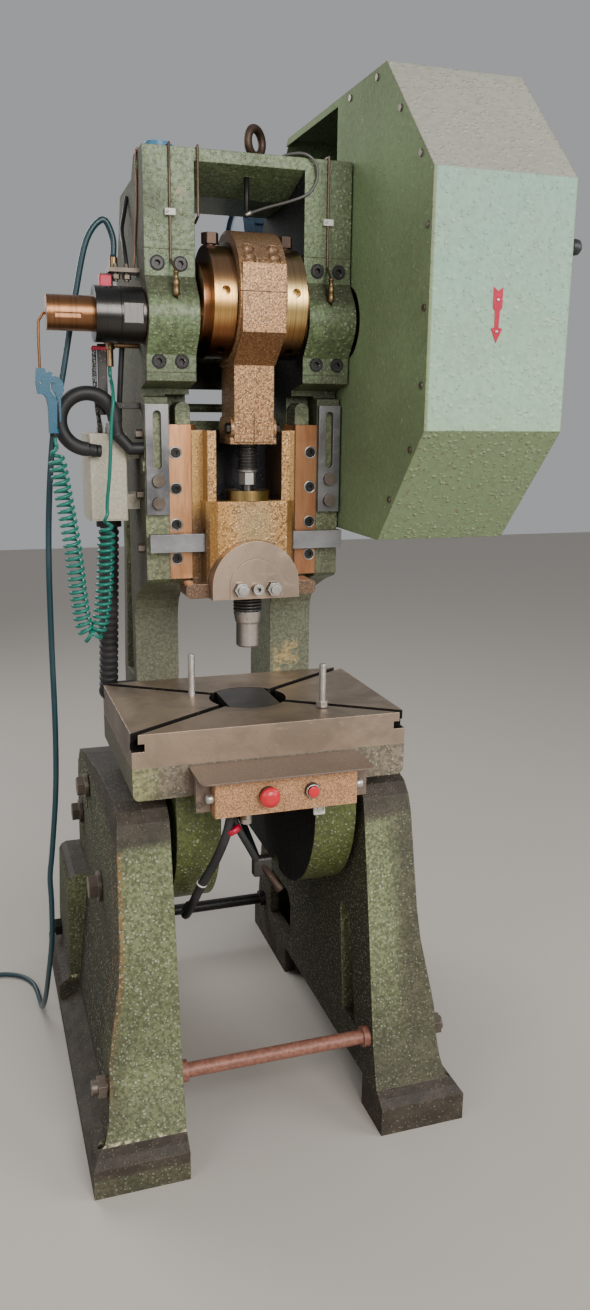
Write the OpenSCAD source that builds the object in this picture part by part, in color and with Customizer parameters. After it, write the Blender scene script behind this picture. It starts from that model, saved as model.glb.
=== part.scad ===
// Open-back inclinable eccentric stamping press, in millimetres, +Z up.
// The origin is on the floor, at the centre of the four anchor holes. X runs left to right
// for someone standing in front, and -Y is the front. The crank stands at top dead centre.

/* [Stand] */
// Length of the feet from front to back
stand_l = 970; // [930:5:1010]
// Distance from the centre line to the stand's inner face
stand_in = 205; // [203:1:212]
// Distance from the centre line to the upper part's outer face
stand_out = 311; // [300:1:320]
// Distance from the centre line to the foot's outer edge
foot_out = 395; // [388:1:410]
// Thickness of the cast walls
stand_wall = 28; // [20:1:32]
// Height of the foot pads
foot_h = 62; // [50:1:72]
// Radius of the anchor holes
anchor_r = 9; // [7:0.5:10]
// Height of the front tie rod above the floor
tie_h = 183; // [170:1:190]
// Height of the rear tie rod above the floor
rear_tie_h = 122; // [110:1:135]
// Radius of the tie rods
tie_r = 15; // [11:0.5:20]
/* [Inclining joint] */
// Height of the pivot bolts above the floor
pivot_h = 450; // [430:2:470]
// Distance of the pivot bolts in front of the origin
pivot_front = 60; // [50:2:70]
// Radius of the pivot bolts
pivot_r = 20; // [15:0.5:26]
// Radius of the clamp bolts
clamp_r = 14; // [10:0.5:17]
// Distance of the upper clamp bolts from the pivot
clamp_reach_a = 254; // [240:2:262]
// Distance of the lower clamp bolts from the pivot
clamp_reach_b = 340; // [330:2:350]
// Widest backward tilt in degrees
tilt = 16; // [8:1:16]

/* [Frame] */
// Distance of the ram's centre line in front of the origin
ram_front = 170; // [160:2:180]
// Half of the gap between the two side walls
gap_half = 108; // [106:0.5:112]
// Distance from the centre line to the side walls' outer face
cheek_out = 204; // [198:0.5:204.5]
// Height of the uprights above the crank's axis
upright_h = 295; // [275:1:315]
// Thickness of the crosspiece at the front
cross_t = 22; // [18:1:40]
// Distance from the ram's centre line back to the throat
throat = 194; // [193:1:200]
// Height of the bed casting's underside
bed_under = 762; // [755:1:775]
// Thickness of the bed casting
bed_t = 66; // [58:1:72]
// Height of the guides' lower end above the ram's underside
guide_up = 32; // [28:1:38]
// Length of the guides
guide_l = 309; // [290:1:320]
// Thickness of the guides from front to back
guide_t = 60; // [50:1:64]
// Distance of the guides' face in front of the origin
guide_front = 145; // [140:1:150]
// Distance from the centre line to the guides' outer edge
guide_out = 156; // [150:1:160]
// Play between the ram and each guide
guide_play = 0.2; // [0.1:0.05:0.4]

/* [Bolster] */
// Width of the bolster plate
bolster_w = 560; // [540:5:600]
// Depth of the bolster plate
bolster_d = 386; // [376:2:392]
// Thickness of the bolster plate
bolster_t = 67; // [58:1:75]
// Radius of the opening in the middle
bolster_hole_r = 82; // [70:1:90]
// Width of the T-slots at the top
slot_w = 18; // [14:1:22]
// Width of the T-slots at the bottom
slot_foot_w = 32; // [28:1:36]
// Depth of the T-slots
slot_d = 34; // [28:1:38]

/* [Crankshaft] */
// Radius of the main journals
journal_r = 42; // [38:0.5:44]
// Wall of the bronze bushes
bush_t = 8; // [6:0.5:9]
// Throw of the crank's eccentric
throw_a = 28; // [24:1:30]
// Throw that the stroke sleeve adds
throw_b = 12; // [8:1:14]
// Radius of the crank's eccentric
ecc_r = 72; // [71:0.5:74]
// Radius of the stroke sleeve
sleeve_r = 98; // [97:0.5:100]
// Radius of the stroke rings
ring_r = 103; // [100:0.5:106]
// Radius of the shaft's free end
shaft_end_r = 32; // [28:0.5:35]
// Distance from the centre line to the shaft's free end
shaft_end = 385; // [370:1:395]
// Radius of the cam collars
collar_r = 51; // [47:0.5:55]
// Width of one cam collar
collar_w = 46; // [40:1:50]
// Running play of bearings, as a difference of radii
run_play = 0.05; // [0.02:0.01:0.08]

/* [Connecting rod] */
// Radius of the big end
big_end_r = 119; // [116:1:122]
// Width of the big end
big_end_w = 90; // [84:1:92]
// Width of the shank
shank_w = 80; // [70:1:84]
// Length from the big end's centre to the foot's underside
rod_l = 277; // [270:1:285]
// Height of the rod foot
rod_foot_t = 51; // [46:1:56]
// Radius of the adjusting screw
screw_r = 20; // [17:0.5:21]
// Length from the ball's centre to the rod's foot
screw_l = 133; // [128:1:145]
// Radius of the ball at its lower end
ball_r = 20; // [18:0.5:21]

/* [Ram] */
// Room between the bolster and the ram with the stroke up
die_space = 225; // [218:1:240]
// Height of the ball's centre above the ram's underside
ball_up = 172; // [168:1:180]
// Height of the ram body's top above the ball's centre
seat_up = 21; // [18:1:23]
// Height of the ram's wings above its body
wing_h = 137; // [125:1:145]
// Half of the ram body's width
ram_half = 92; // [88:1:92]
// Distance from the ram's centre line to its front face
ram_face = 41; // [39:1:43]
// Radius of the shank clamp
clamp_out_r = 90; // [85:1:91]
// Radius of the clamp's inner half
clamp_in_r = 55; // [50:1:58]
// Height of the knock-out bar
bar_h = 36; // [32:1:36]
// Travel of the knock-out bar
bar_travel = 10; // [6:1:11]
// Radius of the tool shank
tool_r = 20; // [17:0.5:22]

/* [Guard and drive] */
// Distance from the centre line to the guard's inner plate
guard_in = 208; // [207:0.5:210]
// Width of the guard
guard_w = 270; // [255:1:280]
// Distance from the crank's axis to the guard's front
guard_reach = 381; // [378:1:390]
// Height of the guard's top above the crank's axis
guard_up = 430; // [420:1:440]
// Depth of the guard's underside below the crank's axis
guard_down = 414; // [405:1:420]
// Thickness of the guard's sheet
sheet = 3; // [2:0.5:4]
// Radius of the flywheel
wheel_r = 362; // [350:1:366]
// Width of the flywheel's rim
rim_w = 100; // [80:1:110]
// Radius of the motor
motor_r = 98; // [85:1:100]
// Radius of the motor pulley
pulley_r = 55; // [50:1:60]
// Clearance between the belts and their pulleys
belt_play = 1; // [0.8:0.1:1.5]

/* [Control box] */
// Width of the control box
box_w = 284; // [260:1:300]
// Height of the control box
box_h = 74; // [68:1:80]
// Depth of the control box
box_d = 78; // [70:1:84]
// Radius of the red mushroom button
stop_r = 20; // [16:0.5:24]
// Travel of the push buttons
button_travel = 4; // [2:0.5:5]
// Height of the electrical box on the left side
ebox_h = 172; // [150:1:190]

/* [Hidden] */
$fn = 48;
eps = 0.01;
fit = 0.3;
crank_y = -ram_front;
// Heights follow from the bed upwards: bolster, ram, ball, rod, crank, uprights
bed_top = bed_under + bed_t;
bolster_top = bed_top + bolster_t;
ram_low = bolster_top + die_space;
guide_low = ram_low + guide_up;
guide_high = guide_low + guide_l;
ball_h = ram_low + ball_up;
ram_top = ball_h + seat_up;
wing_top = ram_top + wing_h;
rod_foot_h = ball_h + screw_l;
crank_h = rod_foot_h + rod_l - throw_a - throw_b;
frame_top = crank_h + upright_h;
cross_under = frame_top - cross_t;
sides = [-1, 1];
green = [0.42, 0.52, 0.38];
iron = [0.35, 0.33, 0.31];
steel = [0.62, 0.60, 0.57];
bronze = [0.72, 0.52, 0.34];
gold = [0.72, 0.55, 0.28];
black = [0.13, 0.13, 0.14];

// Solids laid along the three axes. A profile drawn in slab() has Y and Z as its two axes.
module slab(x0, x1) translate([x0, 0, 0]) rotate([90, 0, 90]) linear_extrude(x1 - x0) children();
module front_slab(y0, y1) translate([0, y1, 0]) rotate([90, 0, 0]) linear_extrude(y1 - y0) children();
module along_x(r, x0, x1, y, z) translate([x0, y, z]) rotate([0, 90, 0]) cylinder(r = r, h = x1 - x0);
module along_y(r, x, y0, y1, z) translate([x, y1, z]) rotate([90, 0, 0]) cylinder(r = r, h = y1 - y0);
module along_z(r, x, y, z0, z1) translate([x, y, z0]) cylinder(r = r, h = z1 - z0);
module both_sides() for (s = sides) mirror([s < 0 ? 1 : 0, 0, 0]) children();
module block(x0, x1, y0, y1, z0, z1) translate([x0, y0, z0]) cube([x1 - x0, y1 - y0, z1 - z0]);
module round_block(x0, x1, y0, y1, z0, z1, r)
  translate([0, 0, z0]) linear_extrude(z1 - z0) round_rect(x0, x1, y0, y1, r);
module round_rect(x0, x1, y0, y1, r) union() {
  translate([x0 + r, y0]) square([x1 - x0 - 2 * r, y1 - y0]);
  translate([x0, y0 + r]) square([x1 - x0, y1 - y0 - 2 * r]);
  for (x = [x0 + r, x1 - r], y = [y0 + r, y1 - r]) translate([x, y]) circle(r = r);
}
// A cap screw with a hexagon socket, whose head faces the front
module cap_screw(x, y, z, r, head_t, shank) difference() {
  union() {
    along_y(r, x, y - head_t, y, z);
    along_y(r * 0.55, x, y, y + shank, z);
  }
  translate([x, y - head_t / 3, z]) rotate([90, 0, 0]) cylinder(r = r * 0.5, h = head_t, $fn = 6);
}
module hex_head(r, t) cylinder(r = r, h = t, $fn = 6);
// A tube along a row of points: short cylinders with a ball at each bend
module pipe(points, r) {
  for (i = [0 : len(points) - 2]) pipe_piece(points[i], points[i + 1], r);
  for (i = [1 : len(points) - 2]) translate(points[i]) sphere(r = r * 1.05, $fn = 24);
}
module pipe_piece(a, b, r) {
  d = b - a;
  l = norm(d);
  translate(a) rotate([0, acos(d[2] / l), atan2(d[1], d[0])]) cylinder(r = r, h = l, $fn = 24);
}
// A soft hose is one swept tube of flat faces along its own row of points
function unit(v) = v / norm(v);
function tangent(p, i) = unit(p[min(i + 1, len(p) - 1)] - p[max(i - 1, 0)]);
function ring_side(t) = unit(cross(t, abs(t[1]) < 0.9 ? [0, 1, 0] : [1, 0, 0]));
function ring_at(p, i, r, n) =
  let (t = tangent(p, i), u = ring_side(t), v = cross(t, u))
  [for (k = [0 : n - 1]) p[i] + r * (cos(k * 360 / n) * u + sin(k * 360 / n) * v)];
function mix3(a, b, c, d, t) = 0.5 * ((2 * b) + (c - a) * t + (2 * a - 5 * b + 4 * c - d) * t * t
  + (3 * b - a - 3 * c + d) * t * t * t);
function smooth(p, n) = concat([for (i = [0 : len(p) - 2], k = [0 : n - 1])
  mix3(p[max(i - 1, 0)], p[i], p[i + 1], p[min(i + 2, len(p) - 1)], k / n)], [p[len(p) - 1]]);
module hose(points, r, n = 8) {
  rings = len(points);
  skin = [for (i = [0 : rings - 1]) each ring_at(points, i, r, n)];
  walls = [for (i = [0 : rings - 2], k = [0 : n - 1])
    [i * n + k, i * n + (k + 1) % n, (i + 1) * n + (k + 1) % n, (i + 1) * n + k]];
  first = [[for (k = [n - 1 : -1 : 0]) k]];
  last = [[for (k = [0 : n - 1]) (rings - 1) * n + k]];
  polyhedron(points = skin, faces = concat(first, walls, last), convexity = 6);
}

// Stand: two mirrored hollow castings on the floor
foot_y = stand_l / 2;
pad_l = 113;
tie_y = foot_y - 90;
anchor_x = foot_out - 23;
anchor_y = foot_y - 45;
slot_play = 1.5;
clamp_a_deg = 42;
clamp_b_deg = 8;
plateau = bed_under - 27;
module stand_outline() polygon([
  [-foot_y, 0], [-foot_y, foot_h], [15 - foot_y, foot_h + 14], [32 - foot_y, foot_h + 24],
  [-427, 176], [-386, 427], [-342, 672], [-334, 704], [-314, 726], [-284, plateau],
  [-60, plateau - 13], [60, plateau - 36], [170, plateau - 48], [300, plateau - 80],
  [352, plateau - 130], [392, 440], [424, 250], [foot_y - 35, foot_h + 24],
  [foot_y - 15, foot_h + 14], [foot_y, foot_h], [foot_y, 0]]);
// Widths seen from the front: the flared front leg, the plain middle and the rear leg
module leg_width() polygon([
  [stand_in, 0], [foot_out, 0], [foot_out, foot_h], [foot_out - 8, foot_h + 12],
  [foot_out - 28, foot_h + 30], [foot_out - 38, 130], [foot_out - 44, 190], [350, 240],
  [336, 320], [stand_out + 12, 390], [stand_out + 6, 460], [stand_out, 671],
  [stand_out - 6, plateau], [stand_in, plateau]]);
module middle_width() polygon([
  [foot_out - 125, 0], [foot_out, 0], [foot_out, 28], [foot_out - 22, 40], [345, 62],
  [stand_out + 4, 340], [stand_out, 362], [stand_out - 4, plateau],
  [stand_in, plateau], [stand_in, 75], [foot_out - 125, 75]]);
module rear_width() polygon([
  [stand_in, 0], [foot_out, 0], [foot_out, foot_h], [foot_out - 8, foot_h + 12],
  [foot_out - 28, foot_h + 26], [362, 345], [356, 358], [344, 365], [stand_in, 365]]);
module leg_region() polygon([
  [-foot_y - 1, -1], [pad_l - foot_y, -1], [pad_l - foot_y, 80], [-345, 150],
  [-300, 427], [-238, plateau + 1], [-foot_y - 1, plateau + 1]]);
// Outline of an arc slot with rounded ends, which lets a clamp bolt follow the frame's tilt
slot_r = clamp_r + slot_play;
arc_over = 1.2;
function polar(r, a) = [r * cos(a), r * sin(a)];
function arc_slot_points(reach, a0, a1) = concat(
  [for (k = [0 : 6]) polar(reach + slot_r, a0 + (a1 - a0) * k / 6)],
  [for (k = [1 : 5]) polar(reach, a1) + polar(slot_r, a1 - 30 * k)],
  [for (k = [6 : -1 : 0]) polar(reach - slot_r, a0 + (a1 - a0) * k / 6)],
  [for (k = [1 : 5]) polar(reach, a0) + polar(slot_r, a0 + 180 - 30 * k)]);
module arc_slot(reach, deg) translate([-pivot_front, pivot_h])
  polygon(arc_slot_points(reach, deg + arc_over, deg - tilt - arc_over));
module stand() difference() {
  intersection() {
    slab(stand_in, foot_out) stand_outline();
    union() {
      intersection() {
        front_slab(-foot_y, -230) leg_width();
        slab(stand_in, foot_out) leg_region();
      }
      front_slab(pad_l - foot_y, foot_y - pad_l) middle_width();
      front_slab(190, foot_y) rear_width();
    }
  }
  slab(stand_in + stand_wall, stand_out - stand_wall) polygon([
    [-350, -1], [-296, 400], [-262, 698], [-60, 690], [60, 668], [160, 655], [280, 628],
    [318, 590], [345, 440], [368, 300], [372, -1]]);
  slab(stand_in - 1, stand_in + stand_wall + 1)
    polygon([[-322, 160], [-245, 160], [-215, 400], [-225, 418], [-262, 418], [-276, 400]]);
  slab(stand_in - 1, stand_in + stand_wall + 1)
    polygon([[150, 110], [330, 110], [335, 150], [318, 250], [170, 250], [145, 220]]);
  along_x(pivot_r + run_play, stand_in - 1, foot_out, -pivot_front, pivot_h);
  slab(stand_in - 1, foot_out) arc_slot(clamp_reach_a, clamp_a_deg);
  slab(stand_in - 1, foot_out) arc_slot(clamp_reach_b, clamp_b_deg);
  along_x(tie_r + run_play, stand_in - 1, foot_out + 1, -tie_y, tie_h);
  along_x(tie_r + run_play, stand_in - 1, foot_out + 1, tie_y, rear_tie_h);
  for (y = [-anchor_y, anchor_y]) along_z(anchor_r, anchor_x, y, -1, 140);
  // The seam of the side cover and the pocket behind the front leg
  slab(stand_out + 1.5, 345) polygon([[-40, 90], [-36, 90], [12, 385], [8, 385]]);
}
module stand_left() color(green) mirror([1, 0, 0]) stand();
module stand_right() color(green) stand();
tie_nut_t = 16;
module tie_rod(y, z, nut_x) {
  along_x(tie_r, -nut_x - 28, nut_x + 22, y, z);
  both_sides() along_x(tie_r + 7, stand_in - 14, stand_in, y, z);
  both_sides() translate([nut_x, y, z]) rotate([0, 90, 0]) hex_head(tie_r + 9, tie_nut_t);
}
module front_tie_rod() color([0.55, 0.36, 0.30]) tie_rod(-tie_y, tie_h, foot_out - 40);
module rear_tie_rod() color(black) tie_rod(tie_y, rear_tie_h, foot_out - 27);

// Pivot bolts stay with the stand, and the frame swings on them
pivot_head_x = stand_out;
module pivot_bolts() color(iron) both_sides() {
  along_x(pivot_r, bolt_in, pivot_head_x + 10, -pivot_front, pivot_h);
  along_x(34, pivot_head_x, pivot_head_x + 8, -pivot_front, pivot_h);
  translate([pivot_head_x + 8, -pivot_front, pivot_h]) rotate([0, 90, 0]) hex_head(27, 20);
}
bolt_in = 120;
module at_clamps() {
  for (c = [[clamp_reach_a, clamp_a_deg], [clamp_reach_b, clamp_b_deg]])
    translate([0, c[0] * cos(c[1]) - pivot_front, pivot_h + c[0] * sin(c[1])]) children();
}
module clamp_bolts() color(iron) both_sides() at_clamps() {
  along_x(clamp_r, bolt_in, stand_out + fit + 12, 0, 0);
  along_x(29, stand_out + fit, stand_out + fit + 8, 0, 0);
  translate([stand_out + fit + 8, 0, 0]) rotate([0, 90, 0]) hex_head(23, 17);
}

// Main frame: one casting with two side walls, a crosspiece, a rear web and the bed
lug_y = crank_y + 73;
lug_h = bed_under - 82;
lug_r = 235;
lug_in = 100;
lug_out = 190;
throat_y = crank_y + throat;
rear_y = 150;
bed_front = crank_y - bolster_d / 2;
guard_pad_y = 40;
cap_low = crank_h - 103;
cap_high = crank_h + 118;
cap_flange = 22;
face_y = crank_y - cap_flange;
module side_wall() polygon([
  [face_y, frame_top], [crank_y + 72, frame_top], [crank_y + 102, frame_top - 37],
  [74, frame_top - 44], [103, frame_top - 111], [rear_y, crank_h + 98], [rear_y, guide_low + 28],
  [188, bed_top + 72], [188, bed_under - 122], [throat_y - 60, bed_under - 122],
  [throat_y - 60, bed_top - 20], [throat_y, bed_top - 20], [throat_y, guide_low - 117],
  [throat_y - 4, guide_low - 92], [throat_y - 16, guide_low - 70], [throat_y - 36, guide_low - 52],
  [throat_y - 70, guide_low - 38], [-guard_pad_y * 2, guide_low - 24],
  [-guide_front + 12, guide_low - 8], [-guide_front, guide_low], [-guide_front, cap_low - 46],
  [-guide_front + 24, cap_low - 43], [-guide_front + 24, cap_low - 29], [face_y, cap_low - 16],
  [face_y, cap_low - fit], [crank_y, cap_low - fit], [crank_y, cap_high + fit], [face_y, cap_high + fit]]);
module lower_cheek() {
  translate([lug_y, lug_h]) circle(r = lug_r, $fn = 96);
  polygon([[lug_y, bed_under], [188, bed_under], [250, lug_h - 40], [318, lug_h - 120], [322, lug_h - 200],
    [290, lug_h - 228], [220, lug_h - 232], [lug_y, lug_h - lug_r]]);
}
module main_frame() color(green) {
  frame_casting();
  // Rounded lugs above the guides
  both_sides() {
    block(lug_x - 15, lug_x + 15, -guide_front + 7, -guide_front + guide_t + 1, guide_high + fit, lug_z);
    along_y(15, lug_x, -guide_front + 7, -guide_front + guide_t + 1, lug_z);
  }
}
lug_x = gap_half + 17;
lug_z = guide_high + 29;
module frame_casting() difference() {
  union() {
    both_sides() {
      slab(gap_half, cheek_out) side_wall();
      intersection() {
        slab(lug_in, lug_out) lower_cheek();
        block(0, 300, -500, 500, 300, bed_under + 6);
      }
      at_clamps() along_x(44, lug_out - 1, stand_in - fit, 0, 0);
      along_x(50, lug_out - 1, stand_in - fit, -pivot_front, pivot_h);
      along_x(16, cheek_out - 1, guard_in, guard_pad_y - 170, crank_h + 270);
      along_x(16, cheek_out - 1, guard_in, guard_pad_y - 170, crank_h - 282);
    }
    // Crosspiece, rear web with two windows, and the wall between the lower cheeks
    slab(-gap_half - 1, gap_half + 1) polygon([[face_y, cross_under], [face_y, frame_top],
      [crank_y + 72, frame_top], [crank_y + 102, frame_top - 37], [74, frame_top - 44],
      [70, frame_top - 66], [crank_y + 96, frame_top - 60]]);
    block(-gap_half - 1, gap_half + 1, 40, 66, guide_low - 52, guide_high + 5);
    along_x(9, -gap_half - 1, gap_half + 1, 53, guide_high + 32);
    block(-lug_in - 1, lug_in + 1, 60, 88, lug_h - 120, bed_under + 1);
    // Bed with rounded lower edges
    front_slab(bed_front, bed_front + bolster_d) intersection() {
      round_rect(-bolster_w / 2, bolster_w / 2, bed_under, bed_top + 40, 14);
      translate([-bolster_w / 2, bed_under]) square([bolster_w, bed_top - bed_under]);
    }
  }
  // Bearing seats, open to the front where the caps close them
  both_sides() along_x(journal_r + bush_t, gap_half - 1, cheek_out + 1, crank_y, crank_h);
  along_z(bolster_hole_r, 0, crank_y, bed_under - 1, bed_top + 1);
  // Pockets for the guides
  both_sides() block(gap_half - 1, guide_out, -guide_front - 1, -guide_front + guide_t,
    guide_low - 24, cap_low - 40);
  both_sides() along_x(pivot_r + run_play, lug_in - 1, stand_in, -pivot_front, pivot_h);
  both_sides() at_clamps() along_x(clamp_r, bolt_in, stand_in, 0, 0);
  // Cored windows in the side walls lighten the casting
  both_sides() slab(gap_half + 30, cheek_out + 1)
    polygon([[60, bed_top + 72], [150, bed_top + 72], [118, guide_low + 28], [118, guide_low + 148],
      [60, guide_low + 148]]);
  for (z = cap_rows, x = cap_cols) both_sides() along_y(7, x, crank_y - 1, crank_y + 46, z);
  both_sides() for (z = gib_rows) along_y(5.6, gib_screw_x, -guide_front, -guide_front + guide_t + 30, z);
  both_sides() for (z = stop_rows) along_y(6, stop_x, -guide_front - 1, -guide_front + 20, z);
  along_z(10, eye_x, eye_y, frame_top - 18, frame_top + 1);
  at_side_bolts() along_x(6, cheek_out - 22, cheek_out + 1, 0, 0);
}
cap_rows = [cap_high - 25, cap_low + 20];
cap_cols = [136, 180];
gib_rows = [for (h = [42, 111, 183, 254]) guide_low + h];
gib_screw_x = 142;
stop_low = guide_low + 132;
stop_high = guide_low + 348;
stop_rows = [for (h = [24, 68]) stop_low + h];
stop_x = 180;
side_rows = [for (h = [63, 171, 290]) guide_low + h];
side_y = -guide_front + 22;
// On the right only the rows below the flywheel guard have bolts
module at_side_bolts() for (z = side_rows) {
  mirror([1, 0, 0]) translate([0, side_y, z]) children();
  if (z < guard_z0 - 14) translate([0, side_y, z]) children();
}
eye_x = 27;
eye_y = crank_y + 42;

// Bearing caps with their bushes and screws
cap_boss_r = 62;
module bearing_caps() color(green) both_sides() difference() {
  union() {
    block(gap_half, cheek_out, crank_y - cap_flange, crank_y, cap_low, cap_high);
    intersection() {
      along_x(cap_boss_r, gap_half, cheek_out, crank_y, crank_h);
      block(gap_half, cheek_out, crank_y - 100, crank_y, cap_low, cap_high);
    }
    slab(gap_half, cheek_out) polygon([[crank_y - cap_flange + 1, crank_h - 72],
      [crank_y - 46, crank_h - 42], [crank_y - 46, crank_h + 42], [crank_y - cap_flange + 1, crank_h + 72]]);
  }
  along_x(journal_r + bush_t, gap_half - 1, cheek_out + 1, crank_y, crank_h);
  for (z = cap_rows, x = cap_cols) {
    along_y(7.5, x, crank_y - cap_flange - 1, crank_y + 1, z);
    along_y(13, x, crank_y - cap_flange - 1, crank_y - cap_flange + 9, z);
  }
  along_y(4, 152, crank_y - cap_boss_r - 2, crank_y - journal_r - bush_t + 3, crank_h + 30);
}
module cap_screws() color(black) both_sides()
  for (z = cap_rows, x = cap_cols) cap_screw(x, crank_y - cap_flange + 9, z, 11.5, 11, 55);
module crank_bushes() color(gold) both_sides() difference() {
  along_x(journal_r + bush_t, gap_half - 2, cheek_out, crank_y, crank_h);
  along_x(journal_r + run_play, gap_half - 3, cheek_out + 1, crank_y, crank_h);
}

// Guides: two bronze strips with a V-shaped edge, screwed to the side walls
vee = 16;
module gib_left() color(bronze) mirror([1, 0, 0]) gib();
module gib_right() color(bronze) gib();
ram_wing = 109;
guide_in = ram_wing + guide_play;
module gib() difference() {
  translate([0, 0, guide_low]) linear_extrude(guide_l) polygon([
    [guide_out - fit, -guide_front], [guide_in + 1, -guide_front], [guide_in, -guide_front + 1],
    [guide_in, -guide_front + 12], [guide_in - vee, -guide_front + guide_t / 2],
    [guide_in, -guide_front + guide_t - 12], [guide_in, -guide_front + guide_t],
    [guide_out - fit, -guide_front + guide_t]]);
  for (z = gib_rows) {
    along_y(6, gib_screw_x, -guide_front - 1, -guide_front + guide_t + 1, z);
    along_y(11.5, gib_screw_x, -guide_front - 1, -guide_front + 6, z);
  }
}
module gib_screws() color(black) both_sides()
  for (z = gib_rows) cap_screw(gib_screw_x, -guide_front + 6, z, 10, 9, guide_t + 12);

// Knock-out stops: slotted bars with their bolts
module stop_brackets() color(iron) both_sides() difference() {
  block(guide_out + 1, cheek_out - 1, -guide_front - 12, -guide_front, stop_low, stop_high);
  front_slab(-guide_front - 13, -guide_front + 1) union() {
    translate([stop_x - 8, stop_low + 98]) square([16, 98]);
    translate([stop_x, stop_low + 196]) circle(r = 8);
    translate([stop_x, stop_low + 98]) circle(r = 8);
  }
  for (z = stop_rows) along_y(6, stop_x, -guide_front - 13, -guide_front + 1, z);
}
module front_hex(x, y, z, r, t, shank) {
  translate([x, y, z]) rotate([90, 0, 0]) cylinder(r = r, h = t);
  along_y(5.9, x, y, y + shank, z);
}
// Bolts of the stop bars, the side bolts of the guides and the guard's screws
module frame_bolts() color(iron) {
  both_sides() for (z = stop_rows) front_hex(stop_x, -guide_front - 12, z, 12.5, 10, 30);
  at_side_bolts() {
    translate([cheek_out, 0, 0]) rotate([0, 90, 0]) hex_head(10, 14);
    along_x(5.9, cheek_out - 20, cheek_out, 0, 0);
  }
  for (p = guard_screw_spots) along_x(6, guard_in - 3, guard_in, p[0], p[1]);
}

// Bolster with its T-slots, and the loose insert that closes most of its opening
insert_cut = 54;
module tee_slot(deg, l) translate([0, crank_y, bolster_top]) rotate([0, 0, deg]) {
  translate([0, -slot_w / 2, -slot_d]) cube([l, slot_w, slot_d + 1]);
  translate([0, -slot_foot_w / 2, -slot_d]) cube([l, slot_foot_w, slot_d * 0.45]);
}
slot_deg = atan2(bolster_d / 2 - 12, bolster_w / 2 - 14);
module bolster_plate() color(iron) difference() {
  block(-bolster_w / 2, bolster_w / 2, bed_front, bed_front + bolster_d, bed_top, bolster_top);
  along_z(bolster_hole_r, 0, crank_y, bed_top - 1, bolster_top + 1);
  for (d = [slot_deg, 180 - slot_deg, 180 + slot_deg, -slot_deg]) tee_slot(d, bolster_w);
  for (p = stud_at) along_z(stud_r + eps, p[0], crank_y + p[1], bolster_top - 16, bolster_top + 1);
}
module bolster_insert() color(iron) intersection() {
  along_z(bolster_hole_r - fit, 0, crank_y, bolster_top - 30, bolster_top - 0.5);
  block(-insert_cut, insert_cut, crank_y - 100, crank_y + 100, bolster_top - 31, bolster_top);
}
stud_at = [[-112, 42], [128, -114]];
stud_r = 7;
module table_studs() color(steel) {
  for (p = stud_at) translate([p[0], crank_y + p[1], 0]) {
    along_z(stud_r, 0, 0, bolster_top - 15, bolster_top + 91);
    along_z(stud_r - 1, 0, 0, bolster_top + 91, bolster_top + 92);
  }
  translate([stud_at[1][0], crank_y + stud_at[1][1], bolster_top + 2]) difference() {
    hex_head(13, 12);
    translate([0, 0, -1]) cylinder(r = stud_r + eps, h = 14);
  }
}

// Flywheel guard: one welded octagonal shell, open towards the frame at the rear
guard_z0 = crank_h - guard_down;
guard_z1 = crank_h + guard_up;
guard_front = crank_y - guard_reach;
guard_rear = 360;
chamfer_t = 211;
function guard_points(i) = [
  [guard_front + i, guard_z0 + chamfer_t + i * 0.4], [guard_front + i, guard_z1 - chamfer_t - i * 0.4],
  [guard_front + chamfer_t + i * 0.4, guard_z1 - i], [guard_rear - 130 - i * 0.4, guard_z1 - i],
  [guard_rear - i, guard_z1 - 130 - i * 0.4], [guard_rear - i, 1610 + i * 0.4],
  [40 - i * 0.4, guard_z0 + i], [guard_front + chamfer_t - 20 + i * 0.4, guard_z0 + i]];
function on_guard(k, t) = guard_points(16)[k] * (1 - t) + guard_points(16)[(k + 1) % 8] * t;
guard_screw_spots = [on_guard(0, 0.17), on_guard(0, 0.48), on_guard(0, 0.8), on_guard(1, 0.17),
  on_guard(1, 0.62), on_guard(2, 0.06), on_guard(2, 0.3), on_guard(7, 0.8), on_guard(7, 0.33)];
module flywheel_guard() color(green) difference() {
  slab(guard_in, guard_in + guard_w) polygon(guard_points(0));
  slab(guard_in + sheet, guard_in + guard_w - sheet) polygon(guard_points(sheet));
  block(guard_in - 1, guard_in + sheet + 1, crank_y + 75, guard_rear - sheet - 1, guard_z0 + 14, guard_z1 - 14);
  along_x(70, guard_in - 1, guard_in + sheet + 1, crank_y, crank_h);
  along_x(24, guard_in + guard_w - sheet - 1, guard_in + guard_w + 1, crank_y, crank_h);
  along_x(5.05, guard_in + guard_w - sheet - 1, guard_in + guard_w + 1, knob_y, knob_h);
}
knob_y = guard_front + 24;
knob_h = crank_h + 112;
module guard_knob() color(black) {
  along_x(5, guard_in + guard_w - sheet, guard_in + guard_w + 6, knob_y, knob_h);
  translate([guard_in + guard_w + 6, knob_y, knob_h]) rotate([0, 90, 0])
    rotate_extrude() polygon([[0, 0], [8, 0], [12, 4], [14, 10], [13, 17], [9, 21], [0, 22]]);
}

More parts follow.
